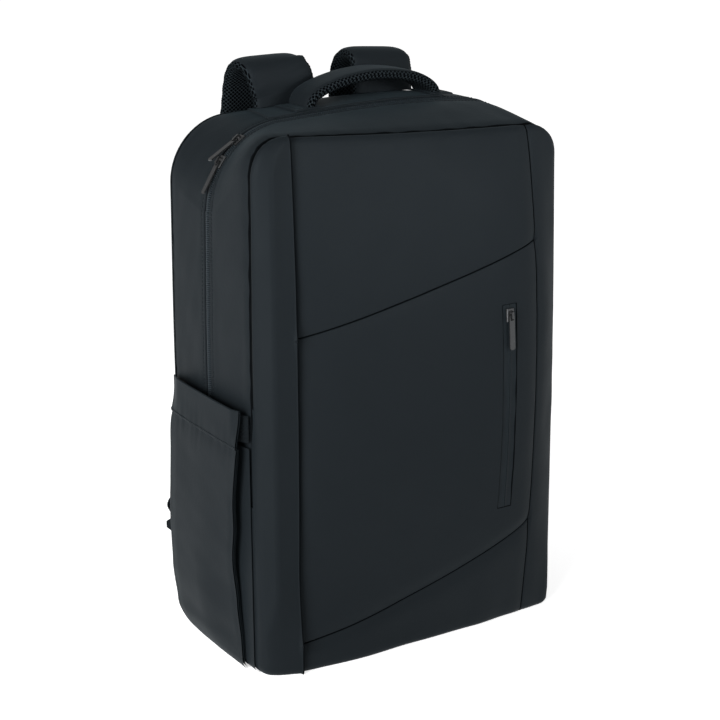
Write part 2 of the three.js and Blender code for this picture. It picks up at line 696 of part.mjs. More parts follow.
function addPocket(side) {
  const left = side < 0;
  const prefix = left ? "left_pocket_" : "right_pocket_";
  const stand = left ? pocketStand : flatPocketStand;
  const inset = left ? 0 : flatPocketInset;
  const frontEdge = (z) => inset + bodyDepth * along(pocketFrontRows, "front", z / pocketHeight);
  const rearEdge = (z) => depthAt(z) - pocketRearInset;
  const standAt = (share, z) => {
    const front = along(pocketFillRows, "front", z / pocketHeight);
    const rear = along(pocketFillRows, "rear", z / pocketHeight);
    return stand * lerp(front, rear, smoothstep(share, 0, 0.5)) * along(pocketRearRows, "stand", share);
  };
  const bodyPoint = (y, z, off) => {
    const point = sidePoint(side, y, z);
    point.x += side * (off - cornerTurn(z, off));
    return point;
  };
  const leastStand = pocketWall + 2 * layerGap;
  const panelPoint = (z, share) =>
    bodyPoint(lerp(frontEdge(z), rearEdge(z), share), z, Math.max(standAt(share, z), leastStand));
  const wallOf = (heights, shares, point, outside, inside) =>
    clothWall(heights, shares, point, side * outside, -side * inside);
  const hemFoot = pocketHeight - pocketHemHeight;
  const turnHeights = steps(3, seamGap, baseCornerRadius);
  const lowHeights = [...turnHeights, ...steps(2, baseCornerRadius, rearBaseRadius).slice(1)];
  const panelHeights = [...lowHeights, ...steps(4, rearBaseRadius, hemFoot - layerGap).slice(1)];
  const shares = [...steps(5, 0, 0.8), 0.88, 0.94, 1];
  const panel = wallOf(panelHeights, shares, panelPoint, 0, pocketWall);
  const hemInside = pocketWall - pocketHemStand;
  const hem = wallOf([hemFoot, pocketHeight], shares, panelPoint, pocketHemStand, hemInside);
  addPiece(prefix + "panel", panel, frontCloth);
  addPiece(prefix + "hem", hem, frontCloth);

  // Bellows: from inside the panel's front edge back to a fold, and forward again to the front seam
  const close = bellowsWall + layerGap;
  const foldDepth = bellowsDepth * (left ? 1 : 0.5);
  const seam = left ? seamGap : inset;
  const bellowsPoint = (z, share) => {
    const front = frontEdge(z) + layerGap;
    const outer = standAt(0, z) - pocketWall - layerGap - bellowsWall;
    const fold = lerp(close, outer, 0.5);
    const back = front + foldDepth;
    const legs = 2 * share;
    if (legs < 1) return bodyPoint(lerp(front, back, legs), z, lerp(outer, fold, legs));
    return bodyPoint(lerp(back, seam, legs - 1), z, lerp(fold, close, legs - 1));
  };
  const bellowsFoot = left ? baseCornerRadius : hemFoot / 2;
  const bellowsHeights = panelHeights.filter((z) => z >= bellowsFoot);
  const bellows = wallOf(bellowsHeights, [0, 0.25, 0.47, 0.53, 0.75, 1], bellowsPoint, bellowsWall, 0);
  addPiece(prefix + "bellows", bellows, frontCloth);

  // Elastic: a short band from inside the hem to the front seam
  const elasticTop = pocketHeight - (pocketHemHeight - elasticHeight) / 2;
  const elasticPoint = (z, share) => {
    const off = lerp(elasticThickness + layerGap, standAt(0.1, z) - pocketWall - layerGap, share);
    return bodyPoint(lerp(seam, frontEdge(z) + elasticReach, share), z, off);
  };
  const elasticHeights = [elasticTop - elasticHeight, elasticTop];
  const elastic = wallOf(elasticHeights, steps(3), elasticPoint, 0, elasticThickness);
  addPiece(prefix + "elastic", elastic, ribbonCloth);
}

const ribbonCorners = (width, thickness) => [
  [-width / 2, -thickness / 2],
  [width / 2, -thickness / 2],
  [width / 2, thickness / 2],
  [-width / 2, thickness / 2],
];

// Half of a pad's section: flat on the inside, and crowned outwards with round edges.
// A negative height faces in.
const padCorners = (width, height, lift) => [
  [-0.5, 0],
  [0.5, 0],
  [0.488, 0.5],
  [0.42, 0.84],
  [0.2, 1],
  [-0.2, 1],
  [-0.42, 0.84],
  [-0.488, 0.5],
].map(([across, up]) => [across * width, lift + up * height]);

// A solid swept along a curve. hintAt gives the way across, and sectionAt the corners across and outwards,
// for each share of the way. foot moves the corners of the ends that are marked.
function sweep(curve, shares, hintAt, sectionAt, foot = (point) => point, ends = [true, false]) {
  const rings = shares.map((share) => {
    const point = curve.getPointAt(share);
    const tangent = curve.getTangentAt(share);
    const hint = hintAt(share);
    const across = hint.clone().addScaledVector(tangent, -hint.dot(tangent)).normalize();
    const outward = across.clone().cross(tangent);
    return sectionAt(share).map(([a, o]) =>
      point.clone().addScaledVector(across, a).addScaledVector(outward, o));
  });
  if (ends[0]) rings[0].forEach(foot);
  if (ends[1]) rings.at(-1).forEach(foot);
  return through(rings);
}

const smoothCurve = (points) => new THREE.CatmullRomCurve3(points, false, "centripetal");

// The yoke lies on the top behind the zip, from one strap root to the other
function addYoke() {
  const front = zipDepth + zipOpening / 2 + 1;
  const back = bodyDepth - 5;
  const surface = (y, c) => {
    const width = lerp(yokeFrontHalfWidth, yokeBackHalfWidth, (y - front) / (back - front));
    const x = lerp(-width, width, c);
    return new THREE.Vector3(x, y, topHeight(x, y));
  };
  const yoke = clothWall(steps(5, front, back), steps(10), surface, layerGap + yokeThickness, layerGap);
  addPiece("top_yoke", yoke, frontCloth);
}

// The height of a layer's underside above the top skin, once the yoke is on it
const onYoke = 2 * layerGap + yokeThickness;

// Centre line of the handle, as shares of its half span from its middle and of its rise
const handleRows = [
  { across: -1, rise: 0 },
  { across: -0.976, rise: 0.2 },
  { across: -0.935, rise: 0.37 },
  { across: -0.847, rise: 0.53 },
  { across: -0.694, rise: 0.7 },
  { across: -0.468, rise: 0.87 },
  { across: -0.21, rise: 0.97 },
  { across: 0.03, rise: 1 },
  { across: 0.29, rise: 0.94 },
  { across: 0.516, rise: 0.83 },
  { across: 0.726, rise: 0.66 },
  { across: 0.87, rise: 0.45 },
  { across: 0.97, rise: 0.21 },
  { across: 1, rise: 0 },
];

function addHandle() {
  const standOn = onYoke + handleEndThickness + layerGap;
  const curve = smoothCurve(handleRows.map(({ across, rise }) => {
    const x = handleMiddle + across * handleHalfSpan;
    return new THREE.Vector3(x, handleDepth, topHeight(x, handleDepth) + standOn + rise * handleRise);
  }));
  const hint = () => new THREE.Vector3(0, -1, 0);
  const foot = (point) => point.setZ(topHeight(point.x, point.y) + standOn + 1.5 * layerGap);
  const cover = () => padCorners(handleWidth, handleCoverThickness, 0);
  const mesh = () => padCorners(handleWidth, -handleMeshThickness, -layerGap);
  addPiece("handle_cover", sweep(curve, steps(18), hint, cover, foot, [true, true]), frontCloth);
  addPiece("handle_mesh", sweep(curve, steps(18), hint, mesh, foot, [true, true]), meshCloth);
  const ends = [
    { name: "handle_left_end", outer: handleRows[0].across, turn: -1 },
    { name: "handle_right_end", outer: handleRows.at(-1).across, turn: 1 },
  ];
  for (const { name, outer, turn } of ends) {
    const start = handleMiddle + outer * handleHalfSpan - turn * (handleCoverThickness + handleMeshThickness);
    const finish = start + turn * handleEndLength;
    const surface = (y, c) => {
      const x = lerp(Math.min(start, finish), Math.max(start, finish), c);
      return new THREE.Vector3(x, y, topHeight(x, y));
    };
    const depths = steps(3, handleDepth - handleWidth / 2, handleDepth + handleWidth / 2);
    addPiece(name, clothWall(depths, steps(3), surface, onYoke + handleEndThickness, onYoke), frontCloth);
  }
}

// Centre line of a strap. outward is the share of the way from its root to its end, seen from behind, lean
// the share of its lean, and depth and height are shares of the reach behind the root and of its height.
const strapRows = [
  { outward: 0, lean: 0, depth: 0, rise: 0 },
  { outward: 0, lean: 0.08, depth: 0, rise: 0.3 },
  { outward: 0, lean: 0.55, depth: 0.01, rise: 0.66 },
  { outward: 0, lean: 0.9, depth: 0.07, rise: 0.92 },
  { outward: 0, lean: 1, depth: 0.2, rise: 1 },
  { outward: 0, lean: 1, depth: 0.4, rise: 0.97 },
  { outward: 0, lean: 1, depth: 0.56, rise: 0.78 },
  { outward: 0, lean: 1, depth: 0.66, rise: 0.42 },
];
const strapFallRows = [
  { outward: 0.02, lean: 1, depth: 0.75, fall: 0.02 },
  { outward: 0.08, lean: 0.9, depth: 0.88, fall: 0.12 },
  { outward: 0.2, lean: 0.8, depth: 0.97, fall: 0.26 },
  { outward: 0.45, lean: 0.5, depth: 0.97, fall: 0.45 },
  { outward: 0.72, lean: 0.2, depth: 0.85, fall: 0.7 },
  { outward: 0.94, lean: 0, depth: 0.69, fall: 0.87 },
  { outward: 1, lean: 0, depth: 0.62, fall: 0.97 },
  { outward: 1, lean: 0, depth: 0.62, fall: 1 },
];

function strapCurve(side) {
  const rootHeight = topHeight(strapSpacing / 2, strapRootDepth) + onYoke;
  const leans = side < 0 ? strapLeanLeft : strapLeanRight;
  const place = ({ outward, lean, depth }, z) => new THREE.Vector3(
    strapAside + side * (lerp(strapSpacing / 2, strapEndSpread / 2, outward) + leans * lean),
    strapRootDepth + depth * strapReach,
    z,
  );
  const rising = strapRows.map((row) => place(row, rootHeight + row.rise * strapRise));
  const falling = strapFallRows.map((row) => place(row, lerp(bodyHeight, strapEndHeight, row.fall)));
  return smoothCurve([...rising, ...falling]);
}

function addStrap(side) {
  const prefix = side < 0 ? "left_strap_" : "right_strap_";
  const curve = strapCurve(side);
  const tilt = THREE.MathUtils.degToRad(side < 0 ? strapTiltLeft : strapTiltRight);
  const lean = (share) => Math.sin(tilt) * smoothstep(share, 0.01, 0.09) * smoothstep(1 - share, 0, 0.3);
  const hint = (share) => new THREE.Vector3(1, 0, -side * lean(share));
  const foot = (point) => point.setZ(topHeight(point.x, point.y) + onYoke + 1.5 * layerGap);
  const widthAt = (share) => lerp(strapWidth, strapEndWidth, smoothstep(share, 0.45, 1));
  const cover = (share) => padCorners(widthAt(share), strapCoverThickness, 0);
  const mesh = (share) => padCorners(widthAt(share), -strapMeshThickness, -2 * layerGap);
  const shares = steps(27).map((share) => share ** strapCrowding);
  addPiece(prefix + "cover", sweep(curve, shares, hint, cover, foot), frontCloth);
  addPiece(prefix + "mesh", sweep(curve, shares, hint, mesh, foot), meshCloth);
  addStrapEnd(side, prefix, curve.getPointAt(1));
}

// Ladder lock: a plate with two slots that leave a top, a middle and a bottom bar
function lockGeometry() {
  const wide = webbingWidth / 2 + 1 + lockSide;
  const plate = new THREE.Shape();
  const bevel = lockSide / 2;
  plate.moveTo(-wide, bevel - lockHeight);
  plate.lineTo(bevel - wide, -lockHeight);
  plate.lineTo(wide - bevel, -lockHeight);
  plate.lineTo(wide, bevel - lockHeight);
  plate.lineTo(wide, -bevel);
  plate.lineTo(wide - bevel, 0);
  plate.lineTo(bevel - wide, 0);
  plate.lineTo(-wide, -bevel);
  const slotHeight = (lockHeight - 3 * lockBar) / 2;
  for (const top of [-lockBar, -2 * lockBar - slotHeight]) {
    const slot = new THREE.Path();
    slot.moveTo(lockSide - wide, top);
    slot.lineTo(lockSide - wide, top - slotHeight);
    slot.lineTo(wide - lockSide, top - slotHeight);
    slot.lineTo(wide - lockSide, top);
    plate.holes.push(slot);
  }
  const solid = new THREE.ExtrudeGeometry(plate, { depth: lockThickness, bevelEnabled: false });
  return solid.translate(0, 0, -lockThickness / 2).rotateX(Math.PI / 2);
}

// Way of the webbing from the tab's tip to the lock's foot, as shares of the distances between them
const webbingRows = [
  { inward: -0.01, back: 0.03, rise: 0 },
  { inward: -0.03, back: 0.16, rise: 0 },
  { inward: -0.03, back: 0.42, rise: 0.012 },
  { inward: 0.06, back: 0.7, rise: 0.07 },
  { inward: 0.28, back: 0.84, rise: 0.24 },
  { inward: 0.64, back: 0.8, rise: 0.52 },
  { inward: 1, back: 0.77, rise: 0.81 },
];

// What hangs on the strap's lower end: a loop of webbing, the lock, the webbing and the tab in the back seam.
// end is the middle of the pad's lower end.
function addStrapEnd(side, prefix, end) {
  const lockTop = end.z - webbingThickness - 3 * layerGap - 1;
  const middle = end.y;
  const lock = new THREE.Group();
  lock.position.set(end.x, middle, lockTop);
  body.add(lock);
  addPiece(prefix + "lock", lockGeometry(), bucklePlastic, lock);
  const at = (depth, z) => new THREE.Vector3(end.x, middle + depth, z);
  const clear = lockThickness / 2 + layerGap + webbingThickness / 2;
  const barFoot = lockTop - lockBar - layerGap - webbingThickness / 2;
  const start = end.z - layerGap;
  const loop = [at(-clear, start), at(-clear, barFoot), at(clear, barFoot), at(clear, start)];
  addPiece(prefix + "loop", mitred(loop), ribbonCloth);

  // Tab: it stands out of the back seam, and the webbing comes out of its tip
  const upright = new THREE.Vector3(0, 0, 1);
  const root = new THREE.Vector3(side * (half + tabThickness), bodyDepth, tabHeight);
  const out = new THREE.Vector3(side * tabReach, tabReach * 0.82, 0);
  const tip = root.clone().add(out);
  const tabSection = (share) => ribbonCorners(lerp(tabWidth, tabTipWidth, share), tabThickness);
  const tabLine = new THREE.LineCurve3(root, tip);
  addPiece(prefix + "tab", sweep(tabLine, steps(1), () => upright, tabSection), ribbonCloth);

  // Webbing: round from the tab up behind the lock, over its middle bar and down again as a free tail
  const lockFoot = lockTop - lockHeight;
  const middleBar = lockFoot + (lockHeight + lockBar) / 2;
  const lockBack = middle - clear;
  const fromTip = ({ inward, back, rise }) => new THREE.Vector3(
    lerp(tip.x, end.x, inward),
    lerp(tip.y, lockBack, back),
    lerp(tip.z, lockFoot, rise),
  );
  const webbing = smoothCurve([
    ...webbingRows.map(fromTip),
    at(-clear - 1.3, lockFoot + 1),
    at(-clear - 0.2, middleBar - lockBar - 5),
    at(-clear, middleBar - lockBar / 2),
    at(-clear * 0.95, middleBar + 1),
    at(0, middleBar + clear + 0.4),
    at(clear * 0.95, middleBar + 1),
    at(clear, middleBar - lockBar / 2),
    at(clear, middleBar - lockBar - 5),
    at(clear + 0.5, lockFoot - 4),
    at(clear + 2.5, lockFoot - webbingTail / 2),
    at(clear + 1.5, lockFoot - webbingTail),
  ]);
  const webbingHint = (share) =>
    new THREE.Vector3(side * smoothstep(share, 0, 0.3), 0, 1 - smoothstep(share, 0.05, 0.35));
  const webbingSection = (share) =>
    ribbonCorners(lerp(tabTipWidth, webbingWidth, smoothstep(share, 0, 0.1)), webbingThickness);
  addPiece(prefix + "webbing", sweep(webbing, steps(54), webbingHint, webbingSection), ribbonCloth);
}

// A ribbon through points with mitred corners, its width along X
function mitred(points) {
  const rings = points.map((point, i) => {
    const before = points[Math.max(i - 1, 0)];
    const after = points[Math.min(i + 1, points.length - 1)];
    const a = point.clone().sub(before).normalize();
    const b = after.clone().sub(point).normalize();
    const way = a.clone().add(b).normalize();
    const out = new THREE.Vector3(1, 0, 0).cross(way).normalize();
    const stretch = 1 / Math.max(Math.sqrt((1 + a.dot(b)) / 2), 0.5);
    const slant = i === 0 || i === points.length - 1 ? 1 : stretch;
    return ribbonCorners(webbingWidth, webbingThickness).map(([across, up]) =>
      point.clone().add(new THREE.Vector3(across, 0, 0)).addScaledVector(out, up * slant));
  });
  return through(rings);
}

addFront();
addGussets();
addMainZip();
addMainSliders();
addFrontZip();
addLowerBody();
addBack();
addPocket(-1);
addPocket(1);
addYoke();
addHandle();
addStrap(-1);
addStrap(1);

export default backpack;
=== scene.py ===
"""Looks of the laptop backpack. Lengths are in millimetres, and depths count from the front seam backwards,
as in the CAD source. They turn into metres of the frame when a mesh is made."""
import math

import bpy
import numpy as np
from mathutils import Matrix, Vector


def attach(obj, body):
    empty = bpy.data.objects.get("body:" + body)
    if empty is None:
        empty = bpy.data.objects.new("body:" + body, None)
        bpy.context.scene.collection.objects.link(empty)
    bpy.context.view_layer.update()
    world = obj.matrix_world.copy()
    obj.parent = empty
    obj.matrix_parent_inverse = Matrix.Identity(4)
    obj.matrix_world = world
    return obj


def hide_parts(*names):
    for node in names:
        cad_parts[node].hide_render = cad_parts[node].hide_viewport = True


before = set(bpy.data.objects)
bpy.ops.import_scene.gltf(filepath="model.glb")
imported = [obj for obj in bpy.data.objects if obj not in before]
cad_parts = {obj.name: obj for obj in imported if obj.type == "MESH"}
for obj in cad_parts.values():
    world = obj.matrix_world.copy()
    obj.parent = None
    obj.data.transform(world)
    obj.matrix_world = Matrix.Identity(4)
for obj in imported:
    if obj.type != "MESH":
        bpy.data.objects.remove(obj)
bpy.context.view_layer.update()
scene = bpy.context.scene

MM = 0.001
SIDES = {-1: "left", 1: "right"}
RIGHTWARDS, BACKWARDS, UPWARDS = np.eye(3)

# Body
WIDTH, HEIGHT, DEPTH = 298, 450, 142
HALF = WIDTH / 2
FRONT_CORNER, BASE_CORNER, REAR_BASE = 30, 10, 30
ZIP_CORNER = {-1: 66, 1: 36}
BACK_CORNER = {-1: 54, 1: 42}
SIDE_BULGE = 1.6
CROWN = {"front": -2.8, "zip": 9, "back": 5.5, "lean": 0.75, "settle": 60}
FRONT_LIFT, FRONT_TILT = 1.2, 6.3
TAPER, TAPER_FROM = 0.014, 240
WALL = 2.4
SIDE_SEAM_ROUND = 0.5

# Front pillow
BULGE, BULGE_LEAN, BULGE_CURVE = 27, 0.35, 0.66
EDGE_RADIUS = 6
FOOT_ROUND, FOOT_REACH = 18, 120
FOOT_ROWS = [(-1, 9), (-0.75, 14), (-0.4, 16), (0, 12), (0.4, 9.5), (0.7, 5), (0.95, 1)]
STRIP, STRIP_LEAST = 34, 2
SEAM_X = HALF - STRIP
UPPER_SEAM = {"left": 292, "right": 348, "sag": 2.4, "deeper": 0}
LOWER_SEAM = {"left": 26, "right": 94, "sag": 10.7, "deeper": 1.2}
# The second number is the half width of the painted shade, near-black faces drawn along each seam groove.
SEAM_ROUND, SEAM_SHADE = 2.0, 0.6
SEAM_DIP, SEAM_DIP_REACH = 1.2, 7
STRIP_ROLL = {-1: 8.5, 1: 1}
ROLL = {"before": 6, "after": 5, "low": 20, "high": 80, "steepest": 0.45}
EDGE_PULL, EDGE_PULL_REACH, EDGE_PULL_LOW, EDGE_PULL_FADE = 2.2, 1.6, 0.2, 45
# Reaches of the painted shade along the front's edge seam, at its top and round the window's frame, and the
# height above which the edge shade is painted.
EDGE_SHADE, TOP_SHADE, WINDOW_SHADE, LINE_FOOT = 0.9, 1.1, 0.45, 235
FRONT_ROW_COUNTS = [8, 10, 55, 8, 34]

# Zips
ZIP_DEPTH, ZIP_OPENING, ZIP_END = 73, 10.5, 150
COIL_HALF, COIL_PITCH, COIL_WIRE, COIL_SINK, COIL_SLANT = 3.0, 1.8, 0.52, 1.6, 0.35
# One turn of the coil's wire: depth from the middle and height
COIL_ROWS = [(-3.0, 0.15), (-2.4, 0.9), (-0.7, 1.5), (0.35, 1.425), (0.7, 0.6)]
LIP_OPENING, LIP_STITCH, LIP_ROUND, LIP_TURN = 9.4, 4.4, 1.1, 1.2 * WALL
WINDOW = {"middle": 81.5, "width": 14, "low": 115, "high": 298, "round": 0.5}
WINDOW_SINK, WINDOW_TAPE_SINK = 2.6, 1.0
# The line entry of a gusset is the reach of the painted shade, near-black faces, beside its seam.
GUSSETS = [
    {"name": "front_gusset", "seam": 0, "side": -1, "round": 2.4, "roll": 1.4, "line": 2, "pucker": 1,
     "later": 0},
    {"name": "rear_gusset", "seam": DEPTH, "side": 1, "round": 1, "roll": 0.4, "line": 0, "pucker": 0.4,
     "later": 5},
]

# Back panel
BACK_EDGE, BACK_BULGE, BACK_BORDER, BACK_CHANNEL = 9, 3, 26, 54

# Side pockets
POCKET_HEIGHT, POCKET_DEPTH, HEM_HEIGHT = 233, 135, 32
POCKET_WALL = 1.8
POCKET_STAND = {-1: 14, 1: 8}
POCKET_FRONT_INSET = {-1: 0, 1: 10}
POCKET_REAR_INSET, POCKET_DROOP, POCKET_CLOSED = 2.5, 5, 0.55
POCKET_FRONT_ROWS = [(0, 0.1), (0.35, 0.125), (0.6, 0.07), (0.87, 0.016), (1, 0.016)]
POCKET_FILL_FRONT = [(0, 0.39), (0.1, 0.42), (0.25, 0.56), (0.5, 0.9), (0.75, 1), (1, 0.85)]
POCKET_FILL_REAR = [(0, 0.45), (0.1, 0.85), (0.25, 1.08), (0.5, 1.1), (0.75, 1), (1, 0.86)]
POCKET_REAR_ROWS = [(0.8, 1), (0.93, 0.93), (1, 0.4)]
HEM_STAND, HEM_CURL, HEM_STITCH = 0.7, 3.0, 2.2
BELLOWS_WALL, BELLOWS_SEAM = 1.2, 0.4
BELLOWS_DEPTH = {-1: 22, 1: 11}
BELLOWS_FOOT = {-1: 0.5, 1: 0.57 * (POCKET_HEIGHT - HEM_HEIGHT)}
ELASTIC_HEIGHT, ELASTIC_WALL, ELASTIC_REACH = 22, 1.4, 14
LAYER_GAP = 0.35

# Yoke, handle and straps
YOKE_WALL, YOKE_FRONT_HALF, YOKE_BACK_HALF, YOKE_LENGTH = 1.4, 86, 76, 170
ON_YOKE = 2 * LAYER_GAP + YOKE_WALL
HANDLE = {"width": 38, "depth": 99, "middle": 18, "half": 62, "rise": 18.5, "end": 24, "end_stitch": 3.4,
          "cover": 5, "mesh": 3, "swell": 1.6, "gap": LAYER_GAP, "edge": 3.2}
HANDLE_END_WALL = 1.5
HANDLE_ROWS = [
    (-1, 0), (-0.976, 0.2), (-0.935, 0.37), (-0.847, 0.53), (-0.694, 0.7), (-0.468, 0.87), (-0.21, 0.97),
    (0.03, 1), (0.29, 0.94), (0.516, 0.83), (0.726, 0.66), (0.87, 0.45), (0.97, 0.21), (1, 0),
]
STRAP = {"width": 60, "end_width": 46, "spacing": 97, "aside": 5, "depth": 130, "rise": 31, "reach": 58,
         "end_height": 182, "end_spread": 216, "cover": 6.5, "mesh": 4.5, "swell": 1, "gap": 2 * LAYER_GAP,
         "edge": 1.6}
STRAP_TILT = {-1: 1, 1: 4}
STRAP_LEAN = {-1: 9, 1: 0}
# Route of a strap: share of the way outwards, lean, depth, and rise over the top or fall down the back
STRAP_RISE_ROWS = [(0, 0, 0, 0), (0, 0.08, 0, 0.3), (0, 0.55, 0.01, 0.66), (0, 0.9, 0.07, 0.92),
                   (0, 1, 0.2, 1), (0, 1, 0.4, 0.97), (0, 1, 0.56, 0.78), (0, 1, 0.66, 0.42)]
STRAP_FALL_ROWS = [(0.02, 1, 0.75, 0.02), (0.08, 0.9, 0.88, 0.12), (0.2, 0.8, 0.97, 0.26),
                   (0.45, 0.5, 0.97, 0.45), (0.72, 0.2, 0.85, 0.7), (0.94, 0, 0.69, 0.87), (1, 0, 0.62, 0.97),
                   (1, 0, 0.62, 1)]
PAD_CORNERS = 44
MESH_PITCH, MESH_EDGE_WAVE, MESH_EDGE_SWELL = 3.8, 0.35, 0.06
WEBBING_WIDTH, WEBBING_WALL, WEBBING_TAIL = 25, 1.6, 85
LOCK_HEIGHT, LOCK_WALL, LOCK_BAR = 34, 3.6, 4
TAB = {"height": 88, "width": 22, "tip": 6, "reach": 6, "slope": 0.82, "wall": 2.4, "past": (2.0, 3.0)}
# Route of the webbing from the tab to the lock: shares of the way inwards, back and up
WEBBING_ROWS = [(0.02, 0.03, 0), (0.06, 0.16, 0), (0.1, 0.42, 0.012), (0.16, 0.7, 0.07), (0.32, 0.84, 0.24),
                (0.64, 0.8, 0.52), (1, 0.77, 0.81)]
# Outline of the webbing: shares of its half width and half thickness
RIBBON_CORNERS = [(-1, -0.6), (-0.94, -1), (0.94, -1), (1, -0.6), (1, 0.6), (0.94, 1), (-0.94, 1), (-1, 0.6)]

# A stitch: its length, the gap to the next, its thickness, and shares of that for its lift and girth
STITCH, STITCH_GAP, STITCH_THICK = 2.6, 0.9, 0.38
STITCH_ROWS = [(-0.5, 0.4), (0.55, 0.9), (0.75, 1), (0.55, 0.9), (-0.5, 0.4)]

# Distances from a folded edge at which the cloth's round is sampled
CLOSE = np.array([0, 0.12, 0.3, 0.6, 1.0, 1.6, 2.5, 4.0, 6.0])

# Soft folds of the cloth: random seed, height, length, and how much shorter they are along u and v
FOLDS = {
    "front_soft": (11, 0.55, 130, 1, 0.6),
    "front_fine": (12, 0.16, 38, 1.3, 1),
    "front_pucker": (13, 0.4, 24, 1, 0.4),
    "front_seam": (14, 0.18, 30, 1, 1),
    "front_tape": (21, 0.12, 26, 1, 1),
    "side": (31, 0.5, 60, 1, 1),
    "gusset_soft": (41, 0.5, 110, 1, 0.5),
    "gusset_fine": (42, 0.14, 34, 1.4, 1),
    "gusset_pucker": (43, 0.5, 22, 0.2, 1),
    "back": (51, 0.25, 45, 1, 1),
    "pocket_soft": (61, 0.8, 120, 0.5, 1),
    "pocket_fine": (62, 0.13, 40, 1, 1.2),
    "pocket_gather": (63, 0.3, 11, 1, 0.1),
    "yoke": (71, 0.15, 30, 1, 1),
}


def lerp(a, b, share):
    return a + (b - a) * share


def smooth(value, low, high):
    share = np.clip((value - low) / (high - low), 0, 1)
    return share * share * (3 - 2 * share)


def along(rows, place):
    """Value at a place along a table of (place, value), eased between its rows."""
    at, value = (np.array(column, float) for column in zip(*rows))
    place = np.clip(place, at[0], at[-1])
    step = np.clip(np.searchsorted(at, place, side="right") - 1, 0, len(at) - 2)
    share = (place - at[step]) / (at[step + 1] - at[step])
    return lerp(value[step], value[step + 1], (1 - np.cos(np.pi * share)) / 2)


def by_side(table, x):
    """The value for the left or the right side, at places across."""
    return np.where(x < 0, table[-1], table[1])


def folds(name, u, v, later=0, waves=9):
    """Height of smooth random waves. A second piece with the same folds takes a later seed."""
    seed, height, scale, along_u, along_v = FOLDS[name]
    rng = np.random.default_rng(seed + later)
    total = 0
    for _ in range(waves):
        angle, phase = rng.uniform(0, 2 * math.pi, 2)
        length = scale * rng.uniform(0.6, 1.8)
        way = u * along_u * math.cos(angle) + v * along_v * math.sin(angle)
        total = total + np.cos(way * 2 * math.pi / length + phase)
    return height * total / math.sqrt(waves)


def turned(distance, radius):
    """How far cloth that is turned in at a seam lies below its face, at a distance from the seam."""
    inside = np.clip(radius - distance, 0, radius)
    return radius - np.sqrt(radius**2 - inside**2)


def hollow(distance, depth, reach):
    """A soft hollow round a line."""
    return depth * np.exp(-((distance / reach) ** 2))


def clustered(low, high, spacing, ends=(True, True), close=CLOSE):
    """Places from low to high, closer together beside the ends that are marked."""
    start = low + close if ends[0] else np.array([low])
    finish = high - close[::-1] if ends[1] else np.array([high])
    count = max(int(round((finish[0] - start[-1]) / spacing)), 1)
    return np.concatenate([start[:-1], np.linspace(start[-1], finish[0], count + 1), finish[1:]])


def unit(vectors):
    return vectors / np.maximum(np.linalg.norm(vectors, axis=-1, keepdims=True), 1e-9)


def normals_of(points):
    """Normals of a grid of points, to the left of rows and columns."""
    across = np.gradient(points, axis=1)
    up = np.gradient(points, axis=0)
    return unit(np.cross(across, up))


def raised(points, height):
    """A grid of points moved along its normals."""
    return points + normals_of(points) * np.asarray(height)[..., None]


def lengths_along(path, power=1):
    """Distance of each point of a path from its start, as a sum of powers of its steps."""
    return np.concatenate([[0], np.cumsum(np.linalg.norm(np.diff(path, axis=0), axis=1) ** power)])


def at_lengths(wanted, length, values):
    """Vectors at the wanted distances, from those at given distances."""
    return np.stack([np.interp(wanted, length, values[:, axis]) for axis in range(3)], -1)


# Skin of the body, as in the CAD source
def crown_rise(x, y):
    zip_slope = (CROWN["zip"] - CROWN["front"]) / ZIP_DEPTH
    back_slope = (CROWN["back"] - CROWN["front"]) / DEPTH
    bend = (back_slope - zip_slope) / (DEPTH - ZIP_DEPTH)
    share = np.clip(x / HALF, -1, 1)
    rise = CROWN["front"] + y * (zip_slope + bend * (y - ZIP_DEPTH))
    lean = CROWN["lean"] * np.clip(y / ZIP_DEPTH, 0, 1)
    return rise * (1 - share**2) * (1 + lean * share)


def tilt_rise(x, y, z):
    near = 1 - smooth(y, 0, ZIP_DEPTH)
    share = np.clip(x / HALF, -1, 1)
    return (FRONT_LIFT - FRONT_TILT * share) * near * smooth(z, HEIGHT - CROWN["settle"], HEIGHT)


def top_height(x, y):
    return HEIGHT + crown_rise(x, y) + tilt_rise(x, y, HEIGHT)


def corner_radius(y, side):
    zip_radius = by_side(ZIP_CORNER, side)
    ahead = lerp(FRONT_CORNER, zip_radius, smooth(y, 0, ZIP_DEPTH))
    behind = lerp(zip_radius, by_side(BACK_CORNER, side), smooth(y, ZIP_DEPTH, DEPTH))
    return np.where(y < ZIP_DEPTH, ahead, behind)


def tapered(x, z):
    return x * (1 - TAPER * smooth(z, TAPER_FROM, HEIGHT))


def depth_at(z):
    return DEPTH - turned(z, REAR_BASE)


def side_point(side, y, z):
    bulge = SIDE_BULGE * np.sin(np.pi * np.clip(z / HEIGHT, 0, 1)) * np.sin(np.pi * np.clip(y / DEPTH, 0, 1))
    return np.stack(np.broadcast_arrays(tapered(side * (HALF + bulge), z), y, z), -1)


def skin_point(place, y):
    """A point of the side and top skin: place runs up the left side, over the top and down the right side."""
    place, y = np.broadcast_arrays(np.asarray(place, float), np.asarray(y, float))
    side = np.where(place < 2.5, -1.0, 1.0)
    climb = np.where(side < 0, place, 5 - place)
    radius = corner_radius(y, side)
    angle = (climb - 1) * math.pi / 2
    x_top = lerp(corner_radius(y, -1) - HALF, HALF - corner_radius(y, 1), place - 2)
    x_corner = side * (HALF - radius + radius * np.cos(angle))
    z_corner = HEIGHT - radius + radius * np.sin(angle)
    flat = side_point(side, y, lerp(ZIP_END, HEIGHT - radius, climb))
    flat[..., 2] += tilt_rise(flat[..., 0], y, flat[..., 2])
    over, round_it = climb > 2, climb > 1
    x = np.where(over, x_top, x_corner)
    z = np.where(over, HEIGHT, z_corner)
    curved = np.stack([tapered(x, z), y, z + crown_rise(x, y) + tilt_rise(x, y, z)], -1)
    return np.where(round_it[..., None], curved, flat)


